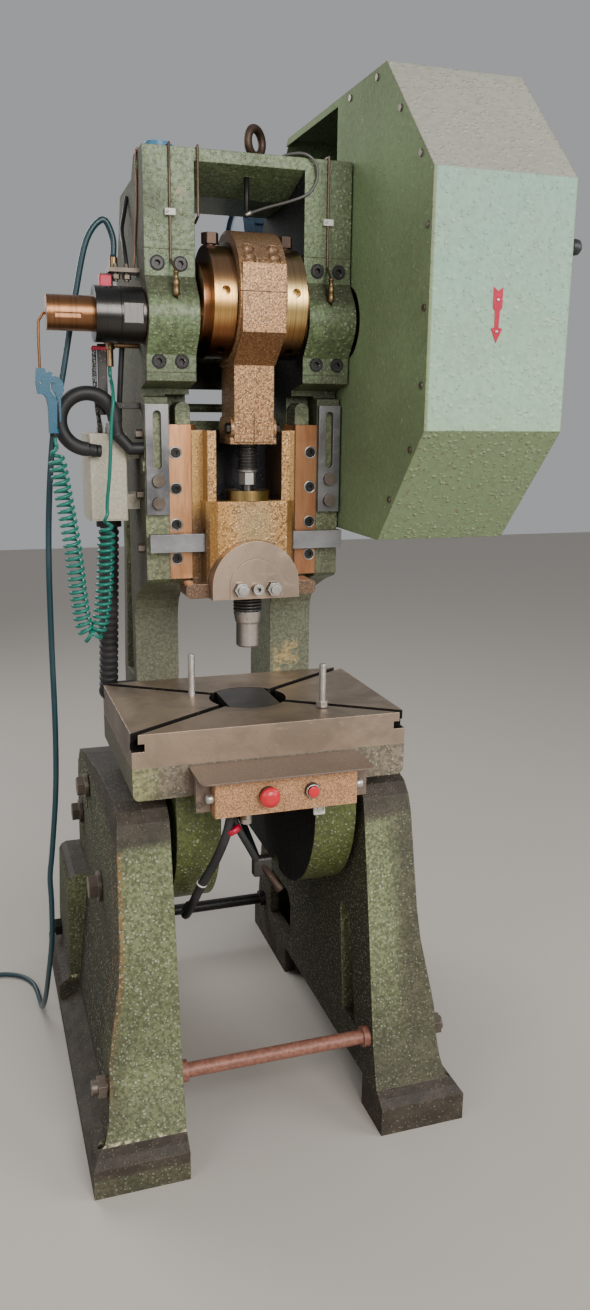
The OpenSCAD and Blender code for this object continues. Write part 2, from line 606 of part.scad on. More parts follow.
// Motor on a bracket behind the frame, with its pulley and belts
motor_y = 250;
motor_z = crank_h + 188;
motor_x = 84;
motor_end = guard_in + 24;
plate_z = motor_z - motor_r - 16;
belt_x = guard_in + 52;
belt_pitch = 17;
belts = 3;
module electric_motor() color([0.2, 0.28, 0.38]) {
  difference() {
    union() {
      along_x(motor_r - 8, motor_x + 10, motor_end - 6, motor_y, motor_z);
      for (k = [0 : 17]) translate([motor_x + 22, motor_y, motor_z]) rotate([k * 20, 0, 0])
        translate([0, -2, 0]) cube([motor_end - motor_x - 32, 4, motor_r - 1]);
      along_x(motor_r, motor_x, motor_x + 26, motor_y, motor_z);
      along_x(motor_r, motor_end - 12, motor_end, motor_y, motor_z);
      block(motor_x + 40, motor_x + 110, motor_y - 35, motor_y + 35, motor_z + motor_r - 14,
        motor_z + motor_r + 18);
    }
    along_x(motor_r - 10, motor_x - 1, motor_x + 8, motor_y, motor_z);
  }
  for (x = [motor_x + 26, motor_end - 44])
    block(x, x + 26, motor_y - 70, motor_y + 70, plate_z, plate_z + 26);
  along_x(14, motor_end - 2, belt_x + belts * belt_pitch + 6, motor_y, motor_z);
}
module motor_plate() color(green) {
  block(motor_x - 24, motor_end, rear_y, motor_y + 96, plate_z - 14, plate_z);
  block(-190, 190, rear_y, rear_y + 14, plate_z - 150, plate_z);
  for (x = [motor_x - 24, motor_x + 50, motor_end - 34]) slab(x, x + 12)
    polygon([[rear_y + 1, plate_z - 130], [rear_y + 1, plate_z - 1], [motor_y + 60, plate_z - 1]]);
}
module vee_groove(r, x) translate([x, 0, 0]) rotate([0, 90, 0]) rotate_extrude($fn = 96)
  polygon([[r - 11, -4.5], [r + 1, -7.5], [r + 1, 7.5], [r - 11, 4.5]]);
module motor_pulley() color(iron) translate([0, motor_y, motor_z]) difference() {
  along_x(pulley_r, belt_x - 10, belt_x + belts * belt_pitch, 0, 0);
  along_x(14 + run_play, belt_x - 11, belt_x + belts * belt_pitch + 1, 0, 0);
  for (k = [0 : belts - 1]) vee_groove(pulley_r, belt_x + k * belt_pitch);
}
// Each belt runs along the outer tangents of the two wheels
centre_gap = norm([motor_y - crank_y, motor_z - crank_h]);
centre_deg = atan2(motor_z - crank_h, motor_y - crank_y);
wrap = acos((wheel_r - pulley_r) / centre_gap);
function belt_line(o) = concat(
  [for (k = [0 : 8]) let (a = centre_deg + wrap - k * wrap / 4)
    [motor_y + (pulley_r + o) * cos(a), motor_z + (pulley_r + o) * sin(a)]],
  [for (k = [0 : 40]) let (a = centre_deg - wrap - k * (360 - 2 * wrap) / 40)
    [crank_y + (wheel_r + o) * cos(a), crank_h + (wheel_r + o) * sin(a)]]);
module drive_belts() color(black) for (k = [0 : belts - 1])
  slab(belt_x + k * belt_pitch - 3.4, belt_x + k * belt_pitch + 3.4) difference() {
    polygon(belt_line(belt_play + 0.6));
    polygon(belt_line(belt_play - 6));
  }

// Crankshaft with an eccentric, and what is clamped to it
ecc_h = crank_h + throw_a;
big_h = ecc_h + throw_b;
hub_end = guard_in + guard_w - 38;
key_w = 8;
module crankshaft() color(bronze) difference() {
  union() {
    along_x(shaft_end_r, -shaft_end, -cheek_out, crank_y, crank_h);
    along_x(journal_r, -cheek_out - 1.5, hub_end, crank_y, crank_h);
    along_x(ecc_r, -gap_half + 5, gap_half - 5, crank_y, ecc_h);
  }
  // Keyway and centre hole of the free end
  translate([-shaft_end + 14, crank_y - shaft_end_r - 1, crank_h - key_w / 2 - 6])
    cube([48, 6, key_w]);
  along_x(5, -shaft_end - 1, -shaft_end + 22, crank_y, crank_h);
  along_x(6, hub_end - 30, hub_end + 1, crank_y, crank_h);
}
module stroke_rings() color(gold) both_sides() difference() {
  union() {
    along_x(ring_r, big_end_w / 2 + 2, ring_end, crank_y, ecc_h);
    translate([ring_end - 16, crank_y, ecc_h + ring_r - 3]) cylinder(r = 10, h = 7);
    translate([ring_end - 16, crank_y, ecc_h + ring_r + 3]) hex_head(17, 20);
  }
  along_x(ecc_r + eps, big_end_w / 2 + 1, gap_half, crank_y, ecc_h);
  for (a = [-8, 60, 180]) translate([ring_end - 22, crank_y, ecc_h]) rotate([90 + a, 0, 0])
    translate([0, 0, ring_r - 16]) cylinder(r = 8, h = 20);
}
ring_end = gap_half - 18;
module stroke_sleeve() color(bronze) difference() {
  along_x(sleeve_r, -big_end_w / 2 - 1.9, big_end_w / 2 + 1.9, crank_y, big_h);
  along_x(ecc_r + eps, -big_end_w, big_end_w, crank_y, ecc_h);
}
module cam_collars() color(black) for (k = [0, 1])
  difference() {
    x0 = -cheek_out - 2 - (k + 1) * collar_w;
    along_x(collar_r, x0, x0 + collar_w - 0.5, crank_y, crank_h);
    along_x(shaft_end_r + eps, x0 - 1, x0 + collar_w + 1, crank_y, crank_h);
    translate([x0 + collar_w / 2, crank_y, crank_h]) rotate([25, 0, 0]) cylinder(r = 3, h = collar_r + 1);
    if (k == 0) intersection() {
      along_x(collar_r + 1, x0 + 4, x0 + collar_w - 6, crank_y, crank_h);
      block(x0, x0 + 50, crank_y - 60, crank_y - collar_r + 3, crank_h - 26, crank_h + 20);
    }
  }
drum_x = guard_in + 150;
module clutch_drum() color(iron) difference() {
  union() {
    along_x(125, drum_x, drum_x + 44, crank_y, crank_h);
    along_x(80, drum_x + 44, drum_x + 66, crank_y, crank_h);
    for (k = [0 : 17]) translate([drum_x + 6, crank_y, crank_h]) rotate([k * 20, 0, 0])
      translate([0, -5, 118]) cube([32, 10, 14]);
  }
  along_x(journal_r + eps, drum_x - 1, drum_x + 70, crank_y, crank_h);
}
wheel_x = belt_x - 16;
module flywheel() color(green) translate([0, crank_y, crank_h]) difference() {
  translate([wheel_x, 0, 0]) rotate([0, 90, 0]) rotate_extrude($fn = 120) polygon([
    [journal_r + run_play, -14], [72, -14], [78, -8], [84, 24], [290, 24], [306, 0], [wheel_r, 0],
    [wheel_r, rim_w], [306, rim_w], [290, 50], [84, 50], [78, 84], [journal_r + run_play, 84]]);
  for (k = [0 : belts - 1]) vee_groove(wheel_r, belt_x + k * belt_pitch);
  for (k = [0 : 5]) rotate([k * 60, 0, 0]) translate([wheel_x, 0, 190]) rotate([0, 90, 0])
    cylinder(r = 52, h = rim_w);
}

// Connecting rod with its split big end, and the screw that sets the ram's height
ear = 121;
block_w = 84;
foot_half = 46;
module rod_section() {
  difference() {
    circle(r = big_end_r, $fn = 96);
    circle(r = sleeve_r + run_play, $fn = 96);
  }
}
module big_end(upper) translate([0, crank_y, big_h]) difference() {
  union() {
    along_x(big_end_r, -big_end_w / 2, big_end_w / 2, 0, 0);
    both_ends() slab(-block_w / 2, block_w / 2)
      polygon([[0, 50], [-ear, 50], [-ear, -71], [-50, -128], [0, -128]]);
  }
  along_x(sleeve_r + run_play, -big_end_w, big_end_w, 0, 0);
  if (upper) block(-99, 99, -200, 200, -200, rod_gap);
  else block(-99, 99, -200, 200, 0, 200);
  // Bolt holes with their heads sunk in the cap, and two cast pockets above each head
  both_ends() for (x = [-24, 24]) {
    along_z(6.5, x, -bolt_reach, -64, 37);
    along_z(11.6, x, -bolt_reach, 36, 60);
    if (upper) for (a = [32, 41])
      translate([x, -(big_end_r + 2) * cos(a), (big_end_r + 2) * sin(a)]) sphere(r = 12.5, $fn = 40);
  }
}
bolt_reach = 106;
rod_gap = 0.8;
module both_ends() for (a = [0, 180]) rotate([0, 0, a]) children();
module rod_cap() color(bronze) big_end(true);
module connecting_rod() color(bronze) difference() {
  union() {
    big_end(false);
    difference() {
      block(-shank_w / 2, shank_w / 2, crank_y - 50, crank_y + 50, rod_foot_h + 4, big_h - 60);
      along_x(big_end_r - 6, -99, 99, crank_y, big_h);
    }
    // Foot: a flange with two round beads for the clamp bolts
    block(-foot_half - 1, foot_half + 1, crank_y - 45, crank_y + 45, rod_foot_h, rod_foot_h + 12);
    for (s = sides) along_x(22, -foot_half, foot_half, crank_y + s * 28, rod_foot_h + rod_foot_t - 21);
    block(-foot_half, foot_half, crank_y - 28, crank_y + 28, rod_foot_h + 8, rod_foot_h + rod_foot_t);
  }
  along_z(screw_r + eps, 0, crank_y, rod_foot_h - 1, rod_foot_h + 110);
  along_x(7, -60, 60, crank_y - 36, rod_foot_h + 30);
  block(-0.5, 0.5, crank_y - 60, crank_y, rod_foot_h - 1, rod_foot_h + 60);
}
module rod_bolts() color(iron) {
  translate([0, crank_y, big_h]) both_ends() for (x = [-24, 24]) {
    along_z(6.4, x, -bolt_reach, -60, 37);
    along_z(11, x, -bolt_reach, 36.2, 46);
  }
  along_x(6.9, -foot_half - 8, foot_half + 8, crank_y - 36, rod_foot_h + 30);
  both_sides() translate([foot_half + fit, crank_y - 36, rod_foot_h + 30]) rotate([0, 90, 0]) hex_head(11, 8);
}
neck_r = 12;
hex_low = ball_h + 52;
turns = 9;
pitch = (rod_foot_h - hex_low - 24) / turns;
module adjusting_screw() color(steel) {
  along_z(screw_r, 0, crank_y, rod_foot_h - 2, rod_foot_h + 100);
  translate([0, crank_y, hex_low + 23]) rotate_extrude() polygon(concat([[0, 0]],
    [for (k = [0 : turns - 1]) each [[screw_r - 3, k * pitch + 1], [screw_r, k * pitch + pitch / 2],
      [screw_r, k * pitch + pitch * 0.7]]], [[screw_r - 3, turns * pitch], [0, turns * pitch]]));
  translate([0, crank_y, hex_low]) hex_head(17, 24);
  along_z(neck_r, 0, crank_y, ball_h, hex_low + 1);
  intersection() {
    translate([0, crank_y, ball_h]) sphere(r = ball_r);
    block(-50, 50, crank_y - 50, crank_y + 50, ball_h - 50, ball_h + 10);
  }
}

// Ram: one casting with two wings, a ball seat, a knock-out slot and a clamp for tools
rise = 9;
throw = throw_a + throw_b;
seat_low = ball_h - ball_r - rise;
bar_low = ball_h - 81;
ram_rear = -44;
tool_pocket_h = 92;
module ram() color(bronze) difference() {
  union() {
    translate([0, 0, ram_low]) linear_extrude(ram_top - ram_low) polygon([
      [-ram_half, ram_rear], [-ram_half, crank_y - ram_face + 18], [-ram_half + 20, crank_y - ram_face],
      [ram_half - 20, crank_y - ram_face], [ram_half, crank_y - ram_face + 18], [ram_half, ram_rear]]);
    // Wings above the body, their guides and the feet at the lower end
    both_sides() {
      block(68, 86, crank_y - 14, ram_rear, ram_top - 5, wing_top);
      translate([0, 0, guide_low - 4]) linear_extrude(wing_top - guide_low + 4) polygon([
        [80, -guide_front + 2], [ram_wing, -guide_front + 2], [ram_wing, -guide_front + 12],
        [ram_wing - vee, -guide_front + guide_t / 2], [ram_wing, -guide_front + guide_t - 12],
        [ram_wing - 2, -guide_front + guide_t], [ram_wing - 2, ram_rear], [80, ram_rear]]);
      front_slab(crank_y - 36, -guide_front - 2) round_rect(60, 137, ram_low, guide_low - 3, 11);
    }
    block(-80, 80, -66, ram_rear, ram_top - 5, wing_top);
  }
  // Seat of the ball, with room behind it for the swing that the rod is modelled without
  block(-ball_r - 1, ball_r + 1, crank_y - ball_r - 1, crank_y + ball_r + 1 + throw, seat_low, ram_top + 1);
  // Slot of the knock-out bar, and the bore for tool shanks
  block(-ram_half - 60, ram_half + 60, bar_y - 0.5, bar_y + bar_t + 0.5, bar_low - 0.5,
    bar_low + bar_h + bar_travel + 0.5);
  along_z(tool_r + run_play, 0, crank_y, ram_low - 1, bar_low + 1);
  // The front of the body is cut away for the shank clamp
  clamp_solid(clamp_out_r + 0.3, crank_y - ram_face - 1, 0.2);
}
// The clamp reaches above the knock-out slot only in front of it
module clamp_solid(r, y0, gap) {
  front_slab(y0, bar_y - 10 + gap) clamp_shape(r, 0);
  intersection() {
    front_slab(y0, crank_y - 0.4 + gap) clamp_shape(r, 0);
    block(-200, 200, -400, 0, ram_low - 1, bar_low - 1 + gap);
  }
}
clamp_mid = ram_low + 26;
module clamp_shape(r, gap) {
  translate([0, clamp_mid]) circle(r = r + gap, $fn = 96);
  translate([-r - gap, ram_low - 1]) square([2 * (r + gap), clamp_mid - ram_low + 1]);
}
bar_y = crank_y - 10;
bar_t = 20;
bar_out = 202;
ring_play = ball_r - neck_r;
module ball_ring() color(gold) difference() {
  along_z(45, 0, crank_y, ram_top, ram_top + 20);
  along_z(neck_r + 2, 0, crank_y, ram_top - 1, ram_top + 21);
  block(-neck_r - 2, neck_r + 2, crank_y, crank_y + 60, ram_top - 1, ram_top + 21);
}
// Clamp: an outer half ring and the half block that grips the shank
clamp_face = crank_y - 68;
module shank_clamp() color(steel) {
  difference() {
    clamp_solid(clamp_out_r, crank_y - ram_face - 26, 0);
    front_slab(crank_y - ram_face - 27, crank_y) clamp_shape(clamp_in_r, 0);
    block(-200, 200, -400, 0, ram_low - 200, ram_low);
  }
  intersection() {
    difference() {
      front_slab(clamp_face, crank_y - 0.4) clamp_shape(clamp_in_r - 0.4, 0);
      along_z(tool_r + run_play, 0, crank_y, ram_low - 2, bar_low);
      for (x = [-34, 34]) along_y(9, x, clamp_face - 1, crank_y, stud_h);
      along_y(8, 0, clamp_face - 1, crank_y - tool_r, stud_h);
    }
    block(-200, 200, -400, 0, ram_low, bar_low - 1);
  }
  for (x = [-34, 34]) {
    along_y(8.9, x, clamp_face - 24, crank_y - 0.5, stud_h);
    translate([x, clamp_face, stud_h]) rotate([90, 0, 0]) hex_head(15, 17);
  }
  cap_screw(0, clamp_face, stud_h, 11, 18, 30);
}
stud_h = ram_low + 21;
module knock_out_bar() color(steel)
  block(-bar_out, bar_out, bar_y, bar_y + bar_t, bar_low, bar_low + bar_h);
spring_wire = 3;
module punch_holder() color(steel) {
  along_z(tool_r, 0, crank_y, ram_low - 60, ram_low + 60);
  translate([0, crank_y, 0]) rotate_extrude() polygon([[0, ram_low - 111], [22, ram_low - 111],
    [24, ram_low - 108], [24, ram_low - 62], [26, ram_low - 58], [29, ram_low - 42],
    [29, ram_low - 36], [0, ram_low - 36]]);
  // Five close turns of the stripper spring
  for (k = [0 : 4]) translate([0, crank_y, ram_low - 32.5 + k * 6.7]) rotate_extrude()
    translate([27, 0]) circle(r = spring_wire, $fn = 16);
}

// Control box under the bed, with its drip tray and two push buttons
box_y = bed_front - 92;
box_z = bed_under - 14;
module control_box() color([0.48, 0.36, 0.29]) difference() {
  round_block(-box_w / 2, box_w / 2, box_y, box_y + box_d, box_z, box_z + box_h, 3);
  block(-box_w / 2 + 3, box_w / 2 - 3, box_y + 3, box_y + box_d - 3, box_z + 3, box_z + box_h - 4);
  along_y(10.05, stop_x0, box_y - 1, box_y + 5, button_z);
  along_y(8.05, start_x0, box_y - 1, box_y + 5, button_z);
}
button_z = box_z + 38;
stop_x0 = -40;
start_x0 = 48;
collar_t = 8;
tray_half = box_w / 2 + 30;
module control_tray() color([0.33, 0.27, 0.24]) {
  difference() {
    round_block(-tray_half, tray_half, bed_front - 112, bed_front, box_z + box_h, box_z + box_h + 3, 16);
    block(-tray_half - 1, tray_half + 1, bed_front - 1, bed_front + 30, box_z + box_h - 1, box_z + box_h + 4);
  }
  both_sides() difference() {
    block(box_w / 2 + 16, box_w / 2 + 19, bed_front - 40, bed_front, box_z - 6, box_z + box_h);
    along_x(4, box_w / 2 + 15, box_w / 2 + 20, bed_front - 20, box_z + 8);
  }
  both_sides() block(box_w / 2, box_w / 2 + 17, bed_front - 34, bed_front - 20, box_z + 20, box_z + 40);
  block(-tray_half, tray_half, bed_front - 3, bed_front, bed_under + 4, box_z + box_h);
}
module button_collars() color(black) {
  for (b = [[stop_x0, 17, 10], [start_x0, 15, 8]]) difference() {
    along_y(b[1], b[0], box_y - collar_t, box_y, button_z);
    along_y(b[2] + 0.1, b[0], box_y - collar_t - 1, box_y + 1, button_z);
  }
}
module stop_button() color([0.8, 0.12, 0.13]) translate([stop_x0, box_y, button_z]) rotate([90, 0, 0])
  rotate_extrude() polygon([[0, -14], [10, -14], [10, collar_t + button_travel + 1],
    [stop_r - 2, collar_t + button_travel + 1], [stop_r, collar_t + 8], [stop_r - 1.5, collar_t + 13],
    [stop_r - 6, collar_t + 17], [9, collar_t + 19.5], [0, collar_t + 20]]);
module start_button() color([0.7, 0.13, 0.12])
  along_y(8, start_x0, box_y - collar_t - button_travel - 1, box_y + 14, button_z);

// Lubrication: a filler cap and thin copper lines down to the bearing caps
module oil_cap() color([0.12, 0.35, 0.5]) {
  along_z(29, -164, crank_y + 36, frame_top, frame_top + 12);
  along_z(24, -164, crank_y + 36, frame_top + 11, frame_top + 16);
}
line_y = face_y - 3.5;
module oil_lines() color([0.45, 0.38, 0.28]) {
  for (s = sides) {
    pipe([[s * 155, crank_y - 6, frame_top + 4], [s * 155, line_y, frame_top + 4],
      [s * 155, line_y, crank_h + 100], [s * 152, crank_y - 57, crank_h + 74],
      [s * 152, crank_y - 57, crank_h + 50]], 2.4);
    along_z(5.5, s * 152, crank_y - 57, crank_h + 38, crank_h + 58);
    block(s * 155 - 7, s * 155 + 7, line_y - 4, face_y, frame_top - 118, frame_top - 108);
  }
  pipe([[-102, crank_y + 30, frame_top + 3], [-102, line_y - 1, frame_top + 3],
    [-102, line_y - 1, cap_high + 60], [-102, crank_y, cap_high + 52], [-gap_half, crank_y, cap_high + 52]], 2.4);
}
module lifting_eye() color(iron) {
  along_z(9.9, eye_x, eye_y, frame_top - 16, frame_top + 8);
  along_z(18, eye_x, eye_y, frame_top, frame_top + 6);
  translate([eye_x, eye_y, frame_top + 34]) rotate([90, 0, 40]) rotate_extrude()
    translate([24, 0]) circle(r = 8, $fn = 24);
}

// Left side: cam switch over the collars, valve fittings, electrical box and hoses
switch_z = crank_h + 80;
module cam_switch() color(iron) {
  block(-262, -cheek_out, crank_y + 30, crank_y + 78, switch_z, switch_z + 8);
  for (x = [-227, -248]) {
    along_z(5, x, crank_y + 44, switch_z - 16, switch_z + 16);
    translate([x, crank_y + 44, switch_z - 12]) hex_head(9, 8);
  }
  round_block(-276, -252, crank_y + 50, crank_y + 84, switch_z - 42, switch_z - 1, 3);
}
module fittings() color(gold) {
  along_z(8, -248, crank_y + 66, switch_z + 8, switch_z + 30);
  along_z(8, valve_x, crank_y + 60, crank_h - 92, crank_h - 58);
  along_z(11, valve_x, crank_y + 60, crank_h - 60, crank_h - 40);
  along_x(7, valve_x, -cheek_out, crank_y + 60, crank_h - 50);
  along_z(11, gland_x, box_y + 40, box_z - 22, box_z);
}
valve_x = -262;
gland_x = -72;
ebox_x = -309;
ebox_w = 76;
ebox_z = guide_low + 118;
module electrical_box() color([0.75, 0.72, 0.62]) {
  round_block(ebox_x, ebox_x + ebox_w, -110, 10, ebox_z, ebox_z + ebox_h, 4);
  block(ebox_x + 3, ebox_x + ebox_w - 3, -112, -109, ebox_z + 3, ebox_z + ebox_h - 3);
  for (z = [20, ebox_h - 50]) block(ebox_x + ebox_w - 1, -cheek_out, -80, -20, ebox_z + z, ebox_z + z + 30);
}
// Ribbed conduit from the box's underside down to the side wall behind the bed
conduit_top = [-262, -28, ebox_z - 12];
conduit_end = [-262, 62, bed_top + 40];
conduit_l = norm(conduit_end - conduit_top);
module conduit() color(black) {
  d = conduit_end - conduit_top;
  along_z(26, conduit_top[0], conduit_top[1], conduit_top[2] - 8, ebox_z);
  translate(conduit_top) rotate([0, acos(d[2] / conduit_l), atan2(d[1], d[0])]) rotate_extrude()
    polygon(concat([[0, 0], [18, 0]], [for (k = [1 : 24]) let (z = k * (conduit_l - 8) / 25)
      each [[18, z], [21, z + 3], [21, z + 8], [18, z + 11]]], [[18, conduit_l], [0, conduit_l]]));
  translate(conduit_end) sphere(r = 22);
  along_x(20, conduit_end[0], -cheek_out, conduit_end[1], conduit_end[2]);
}
ring_h = crank_h - 196;
module ring_hose() color(black) {
  translate([-311, -132, ring_h]) rotate([90, 0, 0]) rotate_extrude(angle = 270, start = 0)
    translate([53, 0]) circle(r = 14, $fn = 24);
  pipe([[-258, -132, ring_h + 1], [-254, -132, ring_h - 26], [-230, -134, ring_h - 52],
    [-cheek_out, -134, ring_h - 52]], 12);
  pipe([[-312, -132, ring_h - 53], [-300, -130, ring_h - 56], [-288, -128, ring_h - 57]], 12);
}
module control_cables() color(black) {
  pipe([[gland_x, box_y + 40, box_z - 22], [gland_x, box_y + 40, box_z - 50],
    [-104, -372, bed_under - 162], [-140, -348, bed_under - 252], [-150, -300, bed_under - 307],
    [-148, -246, bed_under - 316], [-146, -228, bed_under - 296]], 9);
  pipe([[-44, box_y + 52, box_z], [-44, box_y + 52, box_z - 36], [-18, -300, bed_under - 118],
    [8, -100, bed_under - 168], [18, 20, bed_under - 178], [18, 59, bed_under - 178]], 7);
}

// Air supply hose in two lengths that meet on the pivots' axis, so the frame can be inclined.
// The length not seen is coiled on the floor.
hose_r = 6;
coil_r = 66;
coil_turns = 5;
coil_x = -700;
coil_y = 330;
// The end points keep the first and last rings square to the hose
function run(a, p, b) = concat([a], smooth(p, 3), [b]);
hose_route = run([-248, -104, switch_z + 30], [
  [-248, -104, crank_h + 116], [-248, -104, crank_h + 146], [-266, -106, crank_h + 176],
  [-298, -106, crank_h + 138], [-322, -100, crank_h + 38], [-350, -98, crank_h - 102],
  [-376, -98, crank_h - 232], [-392, -98, 1250], [-396, -94, 1050], [-396, -88, 850],
  [-400, -76, 700], [-412, -64, 560], [-420, -60, 490], [-420, -60, pivot_h + 8]],
  [-420, -60, pivot_h + 2]);
floor_route = run([-420, -60, pivot_h], [
  [-420, -60, pivot_h - 6], [-420, -60, 410], [-422, -40, 320], [-430, 20, 200], [-436, 100, 90],
  [-440, 180, 24], [-442, 250, hose_r], [-450, 315, hose_r], [-474, 362, hose_r], [-514, 389, hose_r],
  [-560, coil_y + coil_r, hose_r], [-610, coil_y + coil_r, hose_r], [-652, coil_y + coil_r, hose_r]],
  [-660, coil_y + coil_r, hose_r]);
module supply_hose() color([0.08, 0.28, 0.36]) hose(hose_route, hose_r);
module floor_hose() color([0.08, 0.28, 0.36]) hose(floor_route, hose_r);
module supply_hose_coil() color([0.08, 0.28, 0.36]) translate([coil_x, coil_y, 0])
  rotate_extrude($fn = 40) translate([coil_r - hose_r, 0]) square([2 * hose_r, 2 * hose_r * (coil_turns + 1)]);
module hose_coupling() color(black)
  translate([coil_x - coil_r, coil_y - 44.2, 11]) rotate([90, 0, 0]) {
    cylinder(r = 9, h = 36);
    translate([0, 0, 34]) cylinder(r = 11, h = 24);
  }

// Spiral hose and blow gun, which hangs with its nozzle in the shaft's centre hole
straight_route = run([valve_x, -110, crank_h - 92], [
  [valve_x, -110, crank_h - 98], [valve_x, -112, crank_h - 112], [-263, -140, crank_h - 128],
  [-265, -164, crank_h - 158], [-270, -166, crank_h - 200], [-276, -164, crank_h - 290],
  [-282, -158, crank_h - 350], [-282, -158, crank_h - 366]], [-282, -158, crank_h - 371.8]);
spiral_route = run([-282, -158, crank_h - 372], [
  [-282, -158, crank_h - 380], [-286, -158, 1240], [-290, -156, 1180], [-296, -152, 1110],
  [-306, -150, 1062], [-322, -150, 1044], [-336, -152, 1070], [-344, -156, 1130], [-350, -160, 1200],
  [-358, -164, 1270], [-368, -168, 1340], [-378, -170, crank_h - 250], [-378, -170, crank_h - 232]],
  [-378, -170, crank_h - 224.2]);
spiral_fat = 18;
module spiral_hose() color([0.05, 0.40, 0.33]) {
  hose(straight_route, 4);
  hose(spiral_route, spiral_fat);
}
gun_t = 12;
module blow_gun() color([0.10, 0.38, 0.50]) {
  pipe([[-shaft_end + 12, crank_y, crank_h - 2], [-shaft_end - 5, crank_y, crank_h - 2],
    [-399, crank_y, crank_h - 16], [-400, crank_y, crank_h - 43], [-400, crank_y, crank_h - 101]], 2.6);
  difference() {
    front_slab(crank_y - gun_t, crank_y + gun_t) translate([0, crank_h]) polygon([
      [-407, -100], [-392, -100], [-390, -108], [-382, -106], [-377, -109], [-384, -117], [-383, -142],
      [-374, -152], [-372, -160], [-374, -212], [-372, -218], [-388, -218], [-388, -170], [-391, -153],
      [-396, -147], [-406, -146], [-409, -125]]);
    front_slab(crank_y - gun_t - 1, crank_y + gun_t + 1) translate([-400, crank_h - 125]) circle(r = 2.5);
  }
  along_z(9, -378, crank_y, crank_h - 224, crank_h - 210);
  // Two ears hold the lever's pin
  for (s = sides) difference() {
    y = crank_y + s * 10;
    block(-384, -372, y - 1.5, y + 1.5, crank_h - 126, crank_h - 114);
    along_y(2.3, -376, crank_y - 20, crank_y + 20, crank_h - 120);
  }
}
// The lever turns on its pin towards the handle
module gun_trigger() color([0.10, 0.38, 0.50]) {
  along_y(2.2, -376, crank_y - 11.5, crank_y + 11.5, crank_h - 120);
  front_slab(crank_y - 8, crank_y + 8) translate([0, crank_h]) polygon([
    [-380, -116], [-368, -115], [-359, -125], [-358, -141], [-364, -150], [-366, -196], [-368.5, -197],
    [-369, -160], [-374, -147], [-380, -137]]);
}

stand_left();
stand_right();
front_tie_rod();
rear_tie_rod();
pivot_bolts();
clamp_bolts();
main_frame();
bolster_plate();
bolster_insert();
table_studs();
bearing_caps();
cap_screws();
crank_bushes();
gib_left();
gib_right();
gib_screws();
stop_brackets();
frame_bolts();
flywheel_guard();
guard_knob();
electric_motor();
motor_plate();
drive_belts();
lifting_eye();
oil_cap();
oil_lines();
control_box();
control_tray();
stop_button();
start_button();
button_collars();
fittings();
control_cables();
cam_switch();
electrical_box();
conduit();
ring_hose();
supply_hose();
floor_hose();
supply_hose_coil();
hose_coupling();
spiral_hose();
blow_gun();
gun_trigger();
crankshaft();
stroke_rings();
stroke_sleeve();
cam_collars();
clutch_drum();
flywheel();
motor_pulley();
connecting_rod();
rod_cap();
rod_bolts();
adjusting_screw();
ram();
ball_ring();
shank_clamp();
knock_out_bar();
punch_holder();
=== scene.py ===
import math

import bmesh
import bpy
from mathutils import Matrix, Vector


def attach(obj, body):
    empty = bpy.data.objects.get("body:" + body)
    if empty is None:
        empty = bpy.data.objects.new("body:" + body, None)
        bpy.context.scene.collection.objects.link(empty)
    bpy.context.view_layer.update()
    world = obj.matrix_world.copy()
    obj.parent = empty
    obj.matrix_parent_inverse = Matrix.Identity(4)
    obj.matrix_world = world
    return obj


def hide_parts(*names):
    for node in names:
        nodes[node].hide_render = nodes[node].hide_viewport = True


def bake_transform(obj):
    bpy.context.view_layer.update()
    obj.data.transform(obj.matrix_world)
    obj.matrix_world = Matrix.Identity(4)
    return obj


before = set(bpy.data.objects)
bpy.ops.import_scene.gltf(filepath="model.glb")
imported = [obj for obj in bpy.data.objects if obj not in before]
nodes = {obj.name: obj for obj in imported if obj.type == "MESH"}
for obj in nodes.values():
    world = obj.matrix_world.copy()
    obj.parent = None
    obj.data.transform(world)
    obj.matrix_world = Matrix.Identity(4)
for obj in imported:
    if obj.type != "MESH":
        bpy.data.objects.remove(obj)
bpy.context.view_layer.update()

# The room: a pale floor, a soft key light from the upper left, a fill from the right
# and an even sky. The camera stands in front of the press, a little to its left.
eye = Vector((-0.560, -2.180, 1.494))
yaw, pitch, roll = (math.radians(a) for a in (18.32, 13.63, 0.62))
ahead = Vector((math.sin(yaw) * math.cos(pitch), math.cos(yaw) * math.cos(pitch), -math.sin(pitch)))
right = Vector((math.cos(yaw), -math.sin(yaw), 0))
upward = right.cross(ahead)
rolled = math.cos(roll) * right + math.sin(roll) * upward
above = math.cos(roll) * upward - math.sin(roll) * right
camera = bpy.data.objects.new("camera", bpy.data.cameras.new("camera"))
camera.matrix_world = Matrix.Translation(eye) @ Matrix((rolled, above, -ahead)).transposed().to_4x4()
camera.data.sensor_width, camera.data.lens = 36, 27.92
camera.data.clip_start, camera.data.clip_end = 0.05, 60
bpy.context.scene.collection.objects.link(camera)
bpy.context.scene.camera = camera


def soft_light(name, place, target, size, watts, tint):
    lamp = bpy.data.lights.new(name, "AREA")
    lamp.shape, lamp.size, lamp.energy, lamp.color = "DISK", size, watts, tint
    holder = bpy.data.objects.new(name, lamp)
    holder.location = place
    holder.rotation_euler = (Vector(target) - Vector(place)).to_track_quat("-Z", "Y").to_euler()
    bpy.context.scene.collection.objects.link(holder)


